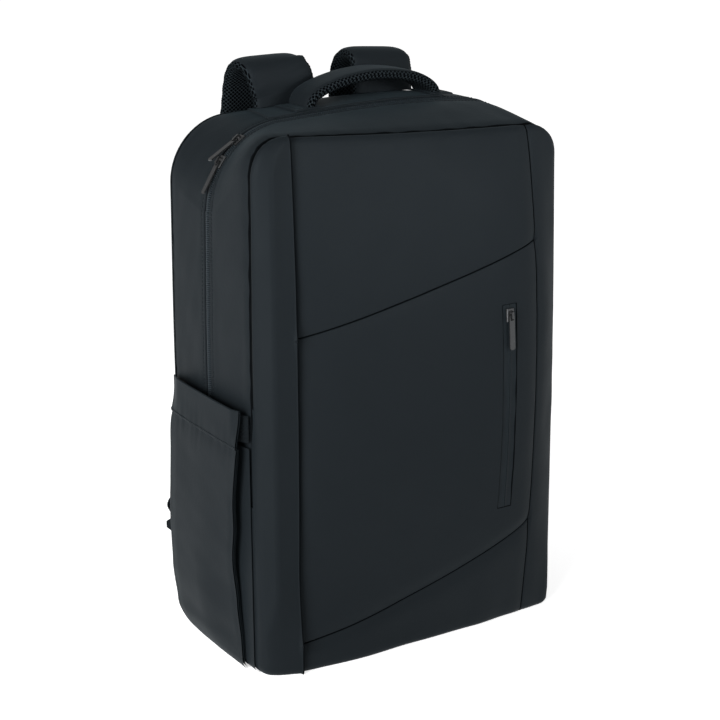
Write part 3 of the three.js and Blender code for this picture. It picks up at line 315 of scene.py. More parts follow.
def inset_of(x, z, top_radius):
    """Distance from the outline of the front or the back."""
    ax = np.abs(x)
    plain = np.minimum(np.minimum(HALF - ax, HEIGHT - z), z)
    top = top_radius - np.hypot(ax - HALF + top_radius, z - HEIGHT + top_radius)
    base = BASE_CORNER - np.hypot(ax - HALF + BASE_CORNER, z - BASE_CORNER)
    plain = np.where((ax > HALF - top_radius) & (z > HEIGHT - top_radius), top, plain)
    return np.where((ax > HALF - BASE_CORNER) & (z < BASE_CORNER), base, plain)


def round_edge(inset, radius):
    return radius - turned(inset, radius)


def half_width(z, top_radius):
    return HALF - turned(HEIGHT - z, top_radius) - turned(z, BASE_CORNER)


def settled(x, z, y):
    return z + crown_rise(x, y) * smooth(z, HEIGHT - CROWN["settle"], HEIGHT) + tilt_rise(x, y, z)


def front_stand(x, z):
    share = np.clip(x / HALF, -1, 1)
    swell = (1 - share**4) * (1 + BULGE_LEAN * share)
    bulge = BULGE * swell * np.sin(np.pi * np.clip(z / HEIGHT, 0, 1)) ** BULGE_CURVE
    edge = round_edge(half_width(z, FRONT_CORNER) - np.abs(x), FOOT_ROUND) / FOOT_ROUND
    foot = along(FOOT_ROWS, share) * edge * (1 - smooth(z, 0, FOOT_REACH))
    return round_edge(inset_of(x, z, FRONT_CORNER), EDGE_RADIUS) + np.hypot(bulge, foot)


def front_point(x, z):
    """A point of the front. Heights from -1 to 0 run along the floor, from the base seam to the foot."""
    height = np.maximum(z, 0)
    stand = front_stand(x, height) * np.clip(1 + z, 0, 1)
    return np.stack(np.broadcast_arrays(tapered(x, height), -stand, settled(x, height, 0)), -1)


def seam_height(x, seam):
    share = np.clip((x + SEAM_X) / (2 * SEAM_X), 0, 1)
    return lerp(seam["left"], seam["right"], share) - 4 * seam["sag"] * share * (1 - share)


# Meshes
class Build:
    """Collects grids of points into one mesh."""

    def __init__(self):
        self.points, self.faces, self.marks, self.uvs, self.count = [], [], [], [], 0

    def grid(self, points, mark=0, closed=False, flip=False):
        """mark is the material's number, or one for each column or face of the grid."""
        rows, columns = points.shape[:2]
        number = self.count + np.arange(rows * columns).reshape(rows, columns)
        uv = self.lengths(points)
        if closed:
            number = np.concatenate([number, number[:, :1]], axis=1)
            uv = np.concatenate([uv, 2 * uv[:, -1:] - uv[:, -2:-1]], axis=1)
        quads, corners = (
            np.stack([each[:-1, :-1], each[:-1, 1:], each[1:, 1:], each[1:, :-1]], 2) for each in (number, uv)
        )
        marks = np.broadcast_to(np.asarray(mark), quads.shape[:2])
        quads, corners = quads.reshape(-1, 4), corners.reshape(-1, 4, 2)
        if flip:
            quads, corners = quads[:, ::-1], corners[:, ::-1]
        self.points.append(points.reshape(-1, 3))
        self.faces.append(quads)
        self.marks.append(marks.reshape(-1))
        self.uvs.append(corners)
        self.count += rows * columns
        return self

    @staticmethod
    def lengths(points):
        """Distances along the cloth in metres, across its middle row and up its middle column."""
        u = lengths_along(points[points.shape[0] // 2])
        v = lengths_along(points[:, points.shape[1] // 2])
        return np.stack(np.meshgrid(u * MM, v * MM), -1)

    def tube(self, rings):
        """A closed tube of rings, whose ends shrink to a point."""
        first, last = (
            [lerp(ring, ring.mean(axis=1, keepdims=True), share) for share in (0.5, 1)]
            for ring in (rings[:1], rings[-1:])
        )
        return self.grid(np.concatenate([*first[::-1], rings, *last]), closed=True)

    def object(self, name, looks, *nodes):
        """Makes the mesh of a piece that stands in for CAD nodes, and hides those nodes. Its looks become its
        materials, in order.
        """
        points = np.concatenate(self.points) - np.array([0, DEPTH / 2, 0])
        faces = np.concatenate(self.faces)
        mesh = bpy.data.meshes.new(name)
        mesh.from_pydata((points * MM).tolist(), [], faces.tolist())
        layer = mesh.uv_layers.new(name="cloth")
        layer.data.foreach_set("uv", np.concatenate(self.uvs).reshape(-1).astype(np.float32))
        for look in looks:
            mesh.materials.append(LOOKS[look])
        mesh.polygons.foreach_set("material_index", np.concatenate(self.marks).astype(np.int32))
        mesh.polygons.foreach_set("use_smooth", np.ones(len(faces), bool))
        mesh.update()
        piece = bpy.data.objects.new(name, mesh)
        scene.collection.objects.link(piece)
        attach(piece, "root")
        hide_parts(*nodes)
        return piece


def shell(points, wall, flip=False):
    """A cloth wall with a round upper edge: the face, its edge and the inside, as one grid of rows."""
    normal = normals_of(points) * (-1 if flip else 1)
    up = unit(points[-1] - points[-2])
    turn = [
        points[-1] + normal[-1] * (math.sin(a) - 1) * wall / 2 + up * math.cos(a) * wall / 2
        for a in np.linspace(math.pi / 2, -math.pi / 2, 7)
    ]
    inside = (points - normal * wall)[::-1]
    return np.concatenate([points, np.stack(turn[1:-1]), inside])


def curve_through(points, count):
    """Points at even distances along a centripetal curve through given points."""
    given = np.array(points, float)
    padded = np.concatenate([[2 * given[0] - given[1]], given, [2 * given[-1] - given[-2]]])
    knots = lengths_along(padded, power=0.5)
    fine = []
    for start in range(len(given) - 1):
        p0, p1, p2, p3 = padded[start:start + 4]
        t0, t1, t2, t3 = knots[start:start + 4]
        t = np.linspace(t1, t2, 40, endpoint=False)[:, None]

        def blend(a, b, low, high):
            return lerp(a, b, (t - low) / (high - low))

        a1, a2, a3 = blend(p0, p1, t0, t1), blend(p1, p2, t1, t2), blend(p2, p3, t2, t3)
        fine.append(blend(blend(a1, a2, t0, t2), blend(a2, a3, t1, t3), t1, t2))
    fine = np.concatenate([*fine, given[-1:]])
    length = lengths_along(fine)
    return at_lengths(np.linspace(0, length[-1], count), length, fine)


def swept(path, hints, section):
    """Rings of a section along a path. section holds (across, outwards) for each ring and corner."""
    tangent = unit(np.gradient(path, axis=0))
    across = unit(hints - (hints * tangent).sum(-1, keepdims=True) * tangent)
    outward = np.cross(across, tangent)
    return path[:, None] + across[:, None] * section[..., :1] + outward[:, None] * section[..., 1:]


def ribbon(path, hints, width):
    """Rings of a flat ribbon with rounded edges along a path."""
    width = np.broadcast_to(np.asarray(width, float), len(path))
    half_sizes = np.stack([width / 2, np.full(len(path), WEBBING_WALL / 2)], -1)
    return swept(path, hints, np.array(RIBBON_CORNERS)[None] * half_sizes[:, None])


def round_wire(first, second):
    """Points round a wire, from two ways across it."""
    angles = np.linspace(0, 2 * math.pi, 6, endpoint=False)[:, None]
    return first[..., None, :] * np.cos(angles) + second[..., None, :] * np.sin(angles)


def stitches(build, path, normal, mark):
    """A row of stitches along a path of points that lie on the cloth."""
    distance = lengths_along(path)
    lift, girth = np.array(STITCH_ROWS).T * STITCH_THICK
    for start in np.arange(STITCH_GAP, distance[-1] - STITCH, STITCH + STITCH_GAP):
        at = start + np.linspace(0, 1, len(STITCH_ROWS)) * STITCH
        middle = at_lengths(at, distance, path)
        out = unit(at_lengths(at, distance, normal))
        side = np.cross(unit(np.gradient(middle, axis=0)), out)
        ring = round_wire(side, out) * girth[:, None, None]
        build.grid(middle[:, None] + out[:, None] * lift[:, None, None] + ring, mark, closed=True)


# Materials
CLOTH_TINT, METAL_TINT = (0.75, 1, 1.2), (0.96, 1, 1.04)
SHINE_TINT, SHEEN_TINT = (0.84, 0.95, 1, 1), (0.6, 0.86, 1, 1)


def preset(node, values):
    for name, value in values.items():
        node.inputs[name].default_value = value


class Look:
    """A material and the nodes before its shader."""

    def __init__(self, name, colour, roughness, specular, metallic=0.0):
        self.material = bpy.data.materials.new(name)
        self.material.use_nodes = True
        self.nodes, self.links = self.material.node_tree.nodes, self.material.node_tree.links
        self.shader = self.nodes["Principled BSDF"]
        preset(self.shader, {"Base Color": (*colour, 1), "Roughness": roughness, "Metallic": metallic,
                             "Specular IOR Level": specular})
        if metallic == 0:
            preset(self.shader, {"Specular Tint": SHINE_TINT})

    def grain(self, scale, detail=2.0):
        """Noise on the object's own coordinates, with scale in waves per metre."""
        noise = self.nodes.new("ShaderNodeTexNoise")
        preset(noise, {"Scale": scale, "Detail": detail})
        self.links.new(self.nodes.new("ShaderNodeTexCoord").outputs["Object"], noise.inputs["Vector"])
        return noise.outputs["Fac"]

    def axes(self):
        """Metres across and up the cloth."""
        split = self.nodes.new("ShaderNodeSeparateXYZ")
        self.links.new(self.nodes.new("ShaderNodeTexCoord").outputs["UV"], split.inputs[0])
        return split.outputs[0], split.outputs[1]

    def math(self, operation, *values):
        node = self.nodes.new("ShaderNodeMath")
        node.operation = operation
        for number, value in enumerate(values):
            if isinstance(value, (int, float)):
                node.inputs[number].default_value = value
            else:
                self.links.new(value, node.inputs[number])
        return node.outputs[0]

    def bump(self, height, distance, strength, before=None):
        node = self.nodes.new("ShaderNodeBump")
        preset(node, {"Distance": distance, "Strength": strength})
        self.links.new(height, node.inputs["Height"])
        if before is not None:
            self.links.new(before, node.inputs["Normal"])
        self.links.new(node.outputs[0], self.shader.inputs["Normal"])
        return node.outputs[0]

    def mix(self, share, low, high):
        node = self.nodes.new("ShaderNodeMix")
        node.data_type = "RGBA"
        self.links.new(share, node.inputs["Factor"])
        preset(node, {6: (*low, 1), 7: (*high, 1)})
        self.links.new(node.outputs[2], self.shader.inputs["Base Color"])


def shell_look():
    """Matt coated cloth: a fine grain, and faint clouds in its tone and shine."""
    look = Look("shell_cloth", (0.0053, 0.0069, 0.0082), roughness=0.6, specular=0.045)
    look.mix(look.grain(scale=14), low=(0.0051, 0.0066, 0.0079), high=(0.0058, 0.0073, 0.0087))
    shine = look.math("MULTIPLY_ADD", look.grain(scale=35), 0.1, 0.53)
    look.links.new(shine, look.shader.inputs["Roughness"])
    coarse = look.bump(look.grain(scale=260), distance=0.00025, strength=0.35)
    look.bump(look.grain(scale=1500, detail=3.0), distance=0.00009, strength=0.6, before=coarse)
    preset(look.shader, {"Sheen Weight": 0.02, "Sheen Tint": SHEEN_TINT, "Sheen Roughness": 0.5})
    return look.material


def mesh_look():
    """Spacer mesh: rows of diamond holes between raised ribs, with painted shade in the holes."""
    look = Look("mesh_cloth", (0.006, 0.007, 0.008), roughness=0.9, specular=0.01)
    slants = [look.math(operation, *look.axes()) for operation in ("ADD", "SUBTRACT")]
    waves = [look.math("SINE", look.math("MULTIPLY", slant, math.pi / (MESH_PITCH * MM))) for slant in slants]
    cell = look.math("ABSOLUTE", look.math("MULTIPLY", *waves))
    hole = look.math("MULTIPLY_ADD", cell, 3.2, -0.7)
    hole.node.use_clamp = True
    # The holes are painted near black as shade inside them; the ribs keep the mesh's own tone.
    look.mix(hole, low=(0.0115, 0.0150, 0.0172), high=(0.0004, 0.0005, 0.0007))
    look.bump(hole, distance=-0.0009, strength=0.9)
    return look.material


def ribbon_look(name, pitch, tone):
    """Woven ribbon: ribs across and a fine twill, with pitch in metres."""
    look = Look(name, [tone * part for part in CLOTH_TINT], roughness=0.7, specular=0.06)
    u, v = look.axes()
    rib = look.math("SINE", look.math("MULTIPLY", v, 2 * math.pi / pitch))
    twill = look.math("SINE", look.math("MULTIPLY", look.math("ADD", u, v), 5 * math.pi / pitch))
    look.bump(look.math("ADD", rib, look.math("MULTIPLY", twill, 0.3)), distance=0.00018, strength=0.8)
    return look.material


def plain_look(name, tone, roughness, specular, metallic):
    tint = METAL_TINT if metallic else CLOTH_TINT
    look = Look(name, [tone * part for part in tint], roughness, specular, metallic)
    look.bump(look.grain(scale=700), distance=0.00005, strength=0.4)
    return look.material


# Tone, roughness, specular and metallic
PLAIN_LOOKS = {
    "zip_tape": (0.0052, 0.6, 0.05, 0),
    "zip_coating": (0.0088, 0.5, 0.05, 0),
    "zip_coil": (0.019, 0.45, 0.12, 0),
    "zip_metal": (0.05, 0.27, 0.3, 0.8),
    # Painted shade: near black, laid on the faces in seam grooves and round the window's frame.
    "seam_shade": (0.0014, 0.8, 0.02, 0),
    "buckle_plastic": (0.006, 0.42, 0.25, 0),
    "thread": (0.007, 0.55, 0.12, 0),
}
LOOKS = {
    "shell": shell_look(),
    "mesh": mesh_look(),
    "ribbon": ribbon_look("ribbon", pitch=0.0016, tone=0.0062),
    "elastic": ribbon_look("elastic", pitch=0.0012, tone=0.0045),
}
LOOKS.update({name: plain_look(name, *values) for name, values in PLAIN_LOOKS.items()})


# Front
def front_relief(x, z):
    """Height of the front's cloth over its plain form: seams, hollows beside them, puckers and soft folds."""
    relief = np.zeros(np.broadcast(x, z).shape)
    inside = np.abs(x) < SEAM_X + SEAM_ROUND
    middle = 1 - np.clip(np.abs(x) / SEAM_X, 0, 1) ** 2
    for seam in (UPPER_SEAM, LOWER_SEAM):
        distance = np.abs(z - seam_height(x, seam))
        dip = hollow(distance, SEAM_DIP * (1 + seam["deeper"] * middle), SEAM_DIP_REACH)
        relief -= np.where(inside, turned(distance, SEAM_ROUND) + dip, 0)
    for side in SIDES:
        distance = np.abs(x - side * SEAM_X)
        relief -= turned(distance, SEAM_ROUND) + hollow(distance, SEAM_DIP, SEAM_DIP_REACH)
    inset = inset_of(x, np.maximum(z, 0), FRONT_CORNER)
    roll = by_side(STRIP_ROLL, x) * smooth(z, ROLL["low"], ROLL["high"])
    roll = roll * smooth(np.abs(x), SEAM_X - ROLL["before"], HALF - ROLL["after"])
    relief -= np.minimum(roll, ROLL["steepest"] * np.maximum(inset, 0))
    relief += smooth(inset, 2, 25) * (folds("front_soft", x, z) + folds("front_fine", x, z))
    relief += np.exp(-inset / 14) * smooth(inset, 1, 5) * folds("front_pucker", x, z)
    return relief


def pulled_in(points, x, z):
    """The edge of the front is drawn in towards its seam with the gusset."""
    height = np.maximum(z, 0)
    inset = inset_of(x, height, FRONT_CORNER)
    pull = EDGE_PULL * np.clip(1 - inset / EDGE_PULL_REACH, 0, 1) ** 2 * (1 + folds("front_seam", x, z))
    pull = pull * lerp(EDGE_PULL_LOW, 1, smooth(z, LINE_FOOT - EDGE_PULL_FADE, LINE_FOOT))
    step = 0.05
    slope_x = inset_of(x + step, height, FRONT_CORNER) - inset_of(x - step, height, FRONT_CORNER)
    slope_z = inset_of(x, height + step, FRONT_CORNER) - inset_of(x, height - step, FRONT_CORNER)
    way = unit(np.stack(np.broadcast_arrays(slope_x, 0.0, slope_z), -1))
    way[..., 2] = np.where(z < BASE_CORNER, 0, way[..., 2])
    return points + way * pull[..., None]


def outside_window(x, z):
    """Distance outwards from the edge of the front pocket zip's window."""
    across = np.abs(x - WINDOW["middle"]) - WINDOW["width"] / 2
    return np.maximum(across, np.maximum(WINDOW["low"] - z, z - WINDOW["high"]))


def front_grid(x, z):
    """The front's cloth. Its window is sunk, with a welted frame round it."""
    outside = outside_window(x, z)
    frame_round = np.where(outside >= 0, turned(outside, WINDOW["round"]), 0)
    relief = front_relief(x, z) - np.where(outside < -0.05, WINDOW_SINK, 0) - frame_round
    edge_fade = smooth(inset_of(x, np.maximum(z, 0), FRONT_CORNER), -0.2, 1.5)
    return pulled_in(raised(front_point(x, z), np.where(z < 0, 0, relief) * edge_fade), x, z)


def front_shade_marks(x, z):
    """1 for the faces painted near black as shade: in a seam, along the front's edge seam or in the frame of
    the window, otherwise 0.
    """
    x, z = ((each[:-1, :-1] + each[1:, :-1] + each[:-1, 1:] + each[1:, 1:]) / 4 for each in (x, z))
    line = np.abs(np.abs(x) - SEAM_X) < SEAM_SHADE
    for seam in (UPPER_SEAM, LOWER_SEAM):
        line |= (np.abs(z - seam_height(x, seam)) < SEAM_SHADE) & (np.abs(x) < SEAM_X)
    reach = np.where(z > HEIGHT - FRONT_CORNER / 3, TOP_SHADE, EDGE_SHADE)
    line |= (inset_of(x, z, FRONT_CORNER) < reach) & (z > LINE_FOOT)
    line |= np.abs(outside_window(x, z) - 0.1) < WINDOW_SHADE
    return line.astype(int)


def front_heights(x):
    """Heights of the front's rows at places across. They lie close together at the seams and the window."""
    lower, upper = (seam_height(x, seam) for seam in (LOWER_SEAM, UPPER_SEAM))
    window_low = np.maximum(WINDOW["low"], lower + 14)
    window_high = lerp(UPPER_SEAM["left"] - 40, WINDOW["high"], smooth(x, -SEAM_X, 50))
    guides = [np.full_like(x, CLOSE[-1]), lower, window_low, window_high, upper, np.full_like(x, HEIGHT)]
    parts = [np.repeat(np.array([-1.0, -0.5, *CLOSE[:-1]])[:, None], len(x), 1)]
    start = guides[0]
    for finish, count in zip(guides[1:], FRONT_ROW_COUNTS):
        parts.append(lerp(start, finish - CLOSE[-1], np.linspace(0, 1, count + 1)[:, None]))
        parts.append(finish - CLOSE[::-1][1:-1, None])
        parts.append(finish + CLOSE[:-1, None])
        start = finish + CLOSE[-1]
    return np.concatenate([*parts[:-1], guides[-1][None]])


def add_front():
    left, right = WINDOW["middle"] - WINDOW["width"] / 2, WINDOW["middle"] + WINDOW["width"] / 2
    inner = np.concatenate([
        clustered(-SEAM_X, left, 3.2),
        clustered(left, right, 2.0, close=CLOSE[:5])[1:],
        clustered(right, SEAM_X, 3.0)[1:],
    ])
    z = front_heights(inner)
    x = np.broadcast_to(inner, z.shape)
    build = Build().grid(front_grid(x, z), front_shade_marks(x, z))
    across = clustered(0, STRIP, 3.0)
    for side in SIDES:
        z = front_heights(np.full(len(across), side * SEAM_X))
        outer = np.maximum(half_width(np.maximum(z, 0), FRONT_CORNER), SEAM_X + STRIP_LEAST)
        x = side * lerp(SEAM_X, outer, across / STRIP)
        build.grid(front_grid(x, z), front_shade_marks(x, z), flip=side < 0)
    build.object("front_cloth", ["shell", "seam_shade"], "front_lower_panel", "front_middle_panel",
                 "front_upper_panel", "front_left_strip", "front_right_strip")


# Gussets and zips
SKIN_PLACES = np.unique(np.concatenate([
    np.linspace(leg, leg + 1, count) for leg, count in enumerate((90, 30, 84, 30, 90))
]))
SKIN_LENGTHS = lengths_along(skin_point(SKIN_PLACES, ZIP_DEPTH))


def outward_at(place, y):
    """Ways up along the zip and outwards at places of the skin."""
    step = 0.004
    climb = unit(skin_point(place + step, y) - skin_point(place - step, y))
    return climb, unit(np.cross(climb, BACKWARDS))


def add_gussets():
    length = SKIN_LENGTHS[None, :]
    places = SKIN_PLACES[None, :]
    for row in GUSSETS:
        seam, later = row["seam"], row["later"]
        lip = ZIP_DEPTH + row["side"] * LIP_OPENING / 2
        depths = clustered(min(seam, lip), max(seam, lip), 2.6)[:, None]
        from_seam, from_lip = np.abs(depths - seam), np.abs(depths - lip)
        relief = -turned(from_seam, row["round"]) - hollow(from_seam, row["roll"], 5)
        relief = relief - turned(from_lip, LIP_ROUND) - hollow(from_lip - LIP_STITCH, 0.4, 1.3)
        soft = smooth(from_seam, 2, 14) * smooth(from_lip, 4, 16)
        relief = relief + soft * folds("gusset_soft", depths, length, later)
        relief = relief + soft * folds("gusset_fine", depths, length, later)
        pucker = folds("gusset_pucker", depths, length, later)
        relief = relief + row["pucker"] * np.exp(-from_seam / 10) * pucker
        points = raised(skin_point(places, depths), relief)
        _, outward = outward_at(SKIN_PLACES, lip)
        middle = (depths[:-1, 0] + depths[1:, 0]) / 2
        # Faces next to the seam are painted near black: painted shade in the seam's groove.
        seam_shade_marks = (np.abs(middle - seam) < row["line"]).astype(int)
        fold = points[-1:] if lip > seam else points[:1]
        parts, marks = [points, fold - outward[None] * LIP_TURN], [seam_shade_marks, [0]]
        if lip < seam:
            parts, marks = parts[::-1], marks[::-1]
        build = Build().grid(np.concatenate(parts), np.concatenate(marks)[:, None], flip=True)
        stitch_depth = lip + math.copysign(LIP_STITCH, seam - lip)
        beside = stitch_depth + np.array([[-0.05], [0.05]])
        way = raised(skin_point(places, beside), np.full((2, 1), -0.25))[0]
        stitches(build, way, outward_at(SKIN_PLACES, stitch_depth)[1], mark=2)
        build.object(row["name"] + "_cloth", ["shell", "seam_shade", "thread"], row["name"])


def add_main_zip():
    depths = np.linspace(-ZIP_OPENING / 2 - 3, ZIP_OPENING / 2 + 3, 24)[:, None] + ZIP_DEPTH
    _, outward = outward_at(SKIN_PLACES, ZIP_DEPTH)
    aside = smooth(np.abs(depths - ZIP_DEPTH), LIP_OPENING / 2 - 0.3, ZIP_OPENING / 2 + 1)
    sink = COIL_SINK + 0.3 + 0.8 * aside
    tape = skin_point(SKIN_PLACES[None, :], depths) - outward[None] * sink[..., None]
    Build().grid(tape, flip=True).object("main_zip_tape_cloth", ["zip_tape"], "main_zip_tape")

    build = Build()
    for tooth in range(int(SKIN_LENGTHS[-1] / COIL_PITCH)):
        for side, start in ((-1, 0.25), (1, 0.75)):
            place = np.interp((tooth + start) * COIL_PITCH, SKIN_LENGTHS, SKIN_PLACES)
            climb, outward = outward_at(np.array(place), ZIP_DEPTH)
            base = skin_point(place, ZIP_DEPTH) - outward * COIL_SINK
            slant = climb * COIL_SLANT * COIL_PITCH / COIL_HALF
            path = np.array([base + BACKWARDS * side * y + outward * h + slant * y for y, h in COIL_ROWS])
            build.grid(path[:, None] + round_wire(climb, outward) * COIL_WIRE, closed=True)
    build.object("main_zip_teeth", ["zip_coil"], "main_zip_coil")


def add_front_zip():
    half_wide = WINDOW["width"] / 2 - 0.1
    right = np.concatenate([[0.15, 0.5, 0.9], np.linspace(1.2, half_wide, 8)])
    offsets = np.concatenate([-right[::-1], [0], right])[None, :]
    z = np.linspace(WINDOW["low"] + 0.1, WINDOW["high"] - 0.1, 90)[:, None]
    wave = folds("front_tape", z, 0) * (1 + 2.2 * smooth(np.abs(offsets), 2, half_wide))
    ridge = hollow(np.abs(offsets) - 0.75, 0.45, 0.4) - hollow(offsets, 0.35, 0.25)
    points = raised(front_point(WINDOW["middle"] + offsets, z), ridge + wave - WINDOW_TAPE_SINK)
    Build().grid(points).object("front_zip_tape_cloth", ["zip_coating"], "front_zip_tape")


# Lower body and back
def add_lower_body():
    z = np.concatenate([np.linspace(0, BASE_CORNER, 12), np.linspace(BASE_CORNER, ZIP_END, 36)[1:]])[:, None]
    depths = clustered(0, DEPTH, 4.0)[None, :]
    y = lerp(0, depth_at(z), depths / DEPTH)
    seam = np.minimum(depths, DEPTH - depths)
    relief = smooth(seam, 2, 14) * folds("side", y, z) - turned(seam, SIDE_SEAM_ROUND)
    for side, name in SIDES.items():
        points = side_point(side, y, z)
        points[..., 0] -= side * turned(z, BASE_CORNER)
        build = Build().grid(raised(points, side * relief), flip=side < 0)
        build.object(name + "_side_cloth", ["shell"], name + "_side_panel")
    x = np.linspace(-HALF + BASE_CORNER, HALF - BASE_CORNER, 60)[None, :]
    y = np.linspace(0, depth_at(0.0), 30)[:, None]
    floor_points = np.stack(np.broadcast_arrays(x, y, 0.1), -1)
    Build().grid(floor_points, flip=True).object("base_cloth", ["shell"], "base_panel")


def add_back():
    """The padded back: mesh with two channels, in a border of cloth."""
    share = clustered(0, WIDTH, 3.2)[None, :] / WIDTH
    z = clustered(0, HEIGHT, 3.2)[:, None]
    x = lerp(half_width(z, BACK_CORNER[1]), -half_width(z, BACK_CORNER[-1]), share)
    inset = inset_of(x, z, by_side(BACK_CORNER, x))
    stand = round_edge(inset, BACK_EDGE) + BACK_BULGE * (1 - (x / HALF) ** 2) * np.sin(math.pi * z / HEIGHT)
    seam = np.abs(inset - BACK_BORDER)
    stand = stand - turned(seam, 1.4) - hollow(seam, 1.2, 6)
    for side in SIDES:
        line = np.abs(x - side * BACK_CHANNEL)
        stand = stand - np.where(inset > BACK_BORDER, turned(line, 1.2) + hollow(line, 1.4, 8), 0)
    stand = stand + folds("back", x, z) * smooth(inset, 3, 20)
    y = depth_at(z) + np.maximum(stand, 0)
    points = np.stack([tapered(x, z), y, settled(x, z, DEPTH)], -1)
    middle = (inset[:-1, :-1] + inset[1:, 1:]) / 2
    build = Build().grid(points, (middle < BACK_BORDER).astype(int))
    back = build.object("back_pad", ["mesh", "shell"], "back_panel")


# Side pockets
def pocket_front(side, z):
    return POCKET_FRONT_INSET[side] + DEPTH * along(POCKET_FRONT_ROWS, z / POCKET_HEIGHT)


def pocket_stand(side, share, z):
    front = along(POCKET_FILL_FRONT, z / POCKET_HEIGHT)
    rear = along(POCKET_FILL_REAR, z / POCKET_HEIGHT)
    return POCKET_STAND[side] * lerp(front, rear, smooth(share, 0, 0.5)) * along(POCKET_REAR_ROWS, share)


def off_body(side, y, z, off):
    """A point that stands off the side wall, and follows its turn at the base."""
    radius = BASE_CORNER + off
    below = np.clip(BASE_CORNER - z, 0, BASE_CORNER)
    turn = radius - np.sqrt(radius**2 - below**2)
    points = side_point(side, y, z)
    points[..., 0] += side * (off - turn)
    return points


def pocket_point(side, share, z):
    """A point of the pocket. Its upper rear corner lies close to the body and droops."""
    y = lerp(pocket_front(side, z), depth_at(z) - POCKET_REAR_INSET, share)
    corner = smooth(share, 0.78, 1) * smooth(z, POCKET_HEIGHT - 1.5 * HEM_HEIGHT, POCKET_HEIGHT)
    stand = pocket_stand(side, share, z) * (1 - POCKET_CLOSED * corner)
    return off_body(side, y, z - POCKET_DROOP * corner, np.maximum(stand, POCKET_WALL + 2 * LAYER_GAP))


def add_pocket(side, name):
    hem_foot = POCKET_HEIGHT - HEM_HEIGHT
    shares = clustered(0, 1, 0.02, close=CLOSE[:6] / POCKET_DEPTH)[None, :]
    above = clustered(BASE_CORNER, hem_foot, 3.2, ends=(False, True))[1:]
    low = np.concatenate([np.linspace(0.3, BASE_CORNER, 10), above])[:, None]
    high = clustered(hem_foot, POCKET_HEIGHT, 3.0)[:, None]

    def slack(z):
        depth = shares * POCKET_DEPTH
        loose = folds("pocket_soft", depth, z) + folds("pocket_fine", depth, z)
        gather = np.exp(-(np.abs(z - hem_foot)) / 9) * folds("pocket_gather", depth, z)
        edge = smooth(shares, 0, 0.06) * smooth(1 - shares, 0, 0.06)
        return (loose * smooth(z, 5, 40) + gather) * edge

    def outwards(z, height):
        return raised(pocket_point(side, shares, z), side * height)

    below_seam = turned(np.abs(low - hem_foot), 0.8) + hollow(low - hem_foot, 0.5, 5)
    curl = HEM_CURL * (1 - smooth(shares, 0, 0.07)) * smooth(high, hem_foot, POCKET_HEIGHT)
    above_seam = HEM_STAND - curl - turned(np.abs(high - hem_foot), HEM_STAND)
    panel = Build().grid(shell(outwards(low, slack(low) - below_seam), POCKET_WALL, side < 0), flip=side < 0)
    hem = Build().grid(shell(outwards(high, slack(high) + above_seam), POCKET_WALL, side < 0), flip=side < 0)
    beside = hem_foot + HEM_STITCH + np.array([[0], [0.1]])
    line = outwards(beside, slack(beside[:1]) + np.full((2, 1), 0.8))
    stitches(hem, line[0], normals_of(line)[0] * side, mark=1)
    panel.object(name + "_pocket_cloth", ["shell"], name + "_pocket_panel")
    hem.object(name + "_pocket_hem_cloth", ["shell", "thread"], name + "_pocket_hem")
    add_bellows(side, name, hem_foot)
    add_elastic(side, name)


def bellows_seam(side):
    return BELLOWS_SEAM if side < 0 else POCKET_FRONT_INSET[side]


def add_bellows(side, name, hem_foot):
    """The folded gusset between the pocket's front edge and the body."""
    z = np.linspace(BELLOWS_FOOT[side], hem_foot, 70)[:, None]
    front = pocket_front(side, z) + LAYER_GAP
    back = front + BELLOWS_DEPTH[side]
    close = BELLOWS_WALL + LAYER_GAP
    outer = pocket_stand(side, 0, z) - POCKET_WALL - LAYER_GAP - BELLOWS_WALL
    fold = lerp(close, outer, 0.5)
    legs = np.linspace(0, 2, 40)[None, :]
    y = np.where(legs < 1, lerp(front, back, legs), lerp(back, bellows_seam(side), legs - 1))
    off = np.where(legs < 1, lerp(outer, fold, legs), lerp(fold, close, legs - 1))
    build = Build().grid(off_body(side, y, z, off))
    build.object(name + "_pocket_gusset", ["shell"], name + "_pocket_bellows")


def add_elastic(side, name):
    top = POCKET_HEIGHT - (HEM_HEIGHT - ELASTIC_HEIGHT) / 2
    z = clustered(top - ELASTIC_HEIGHT, top, 1.0, close=CLOSE[:6])[:, None]
    share = np.linspace(0, 1, 40)[None, :]
    off = lerp(ELASTIC_WALL + LAYER_GAP, pocket_stand(side, 0.1, z) - POCKET_WALL - LAYER_GAP, share)
    y = lerp(bellows_seam(side), pocket_front(side, z) + ELASTIC_REACH, share)
    band = shell(off_body(side, y, z, off), ELASTIC_WALL, side < 0)
    build = Build().grid(band, flip=side < 0)
    build.object(name + "_pocket_band", ["elastic"], name + "_pocket_elastic")


# Top
def on_top(x, y, lift):
    return np.stack(np.broadcast_arrays(x, y, top_height(x, y) + lift), -1)


def add_yoke():
    front, back = ZIP_DEPTH + ZIP_OPENING / 2 + 1, DEPTH - 5
    y = clustered(front, back, 2.5)[:, None]
    share = clustered(0, 1, 0.02, close=CLOSE / YOKE_LENGTH)[None, :]
    wide = lerp(YOKE_FRONT_HALF, YOKE_BACK_HALF, (y - front) / (back - front))
    x = lerp(-wide, wide, share)
    edge = np.minimum(np.minimum(share, 1 - share) * YOKE_LENGTH, np.minimum(y - front, back - y))
    lift = LAYER_GAP + YOKE_WALL - turned(edge, 1.3) - hollow(edge - 4.5, 0.3, 1.2)
    lift = lift + folds("yoke", x, y) * smooth(edge, 3, 12)
    Build().grid(on_top(x, y, lift)).object("yoke_cloth", ["shell"], "top_yoke")


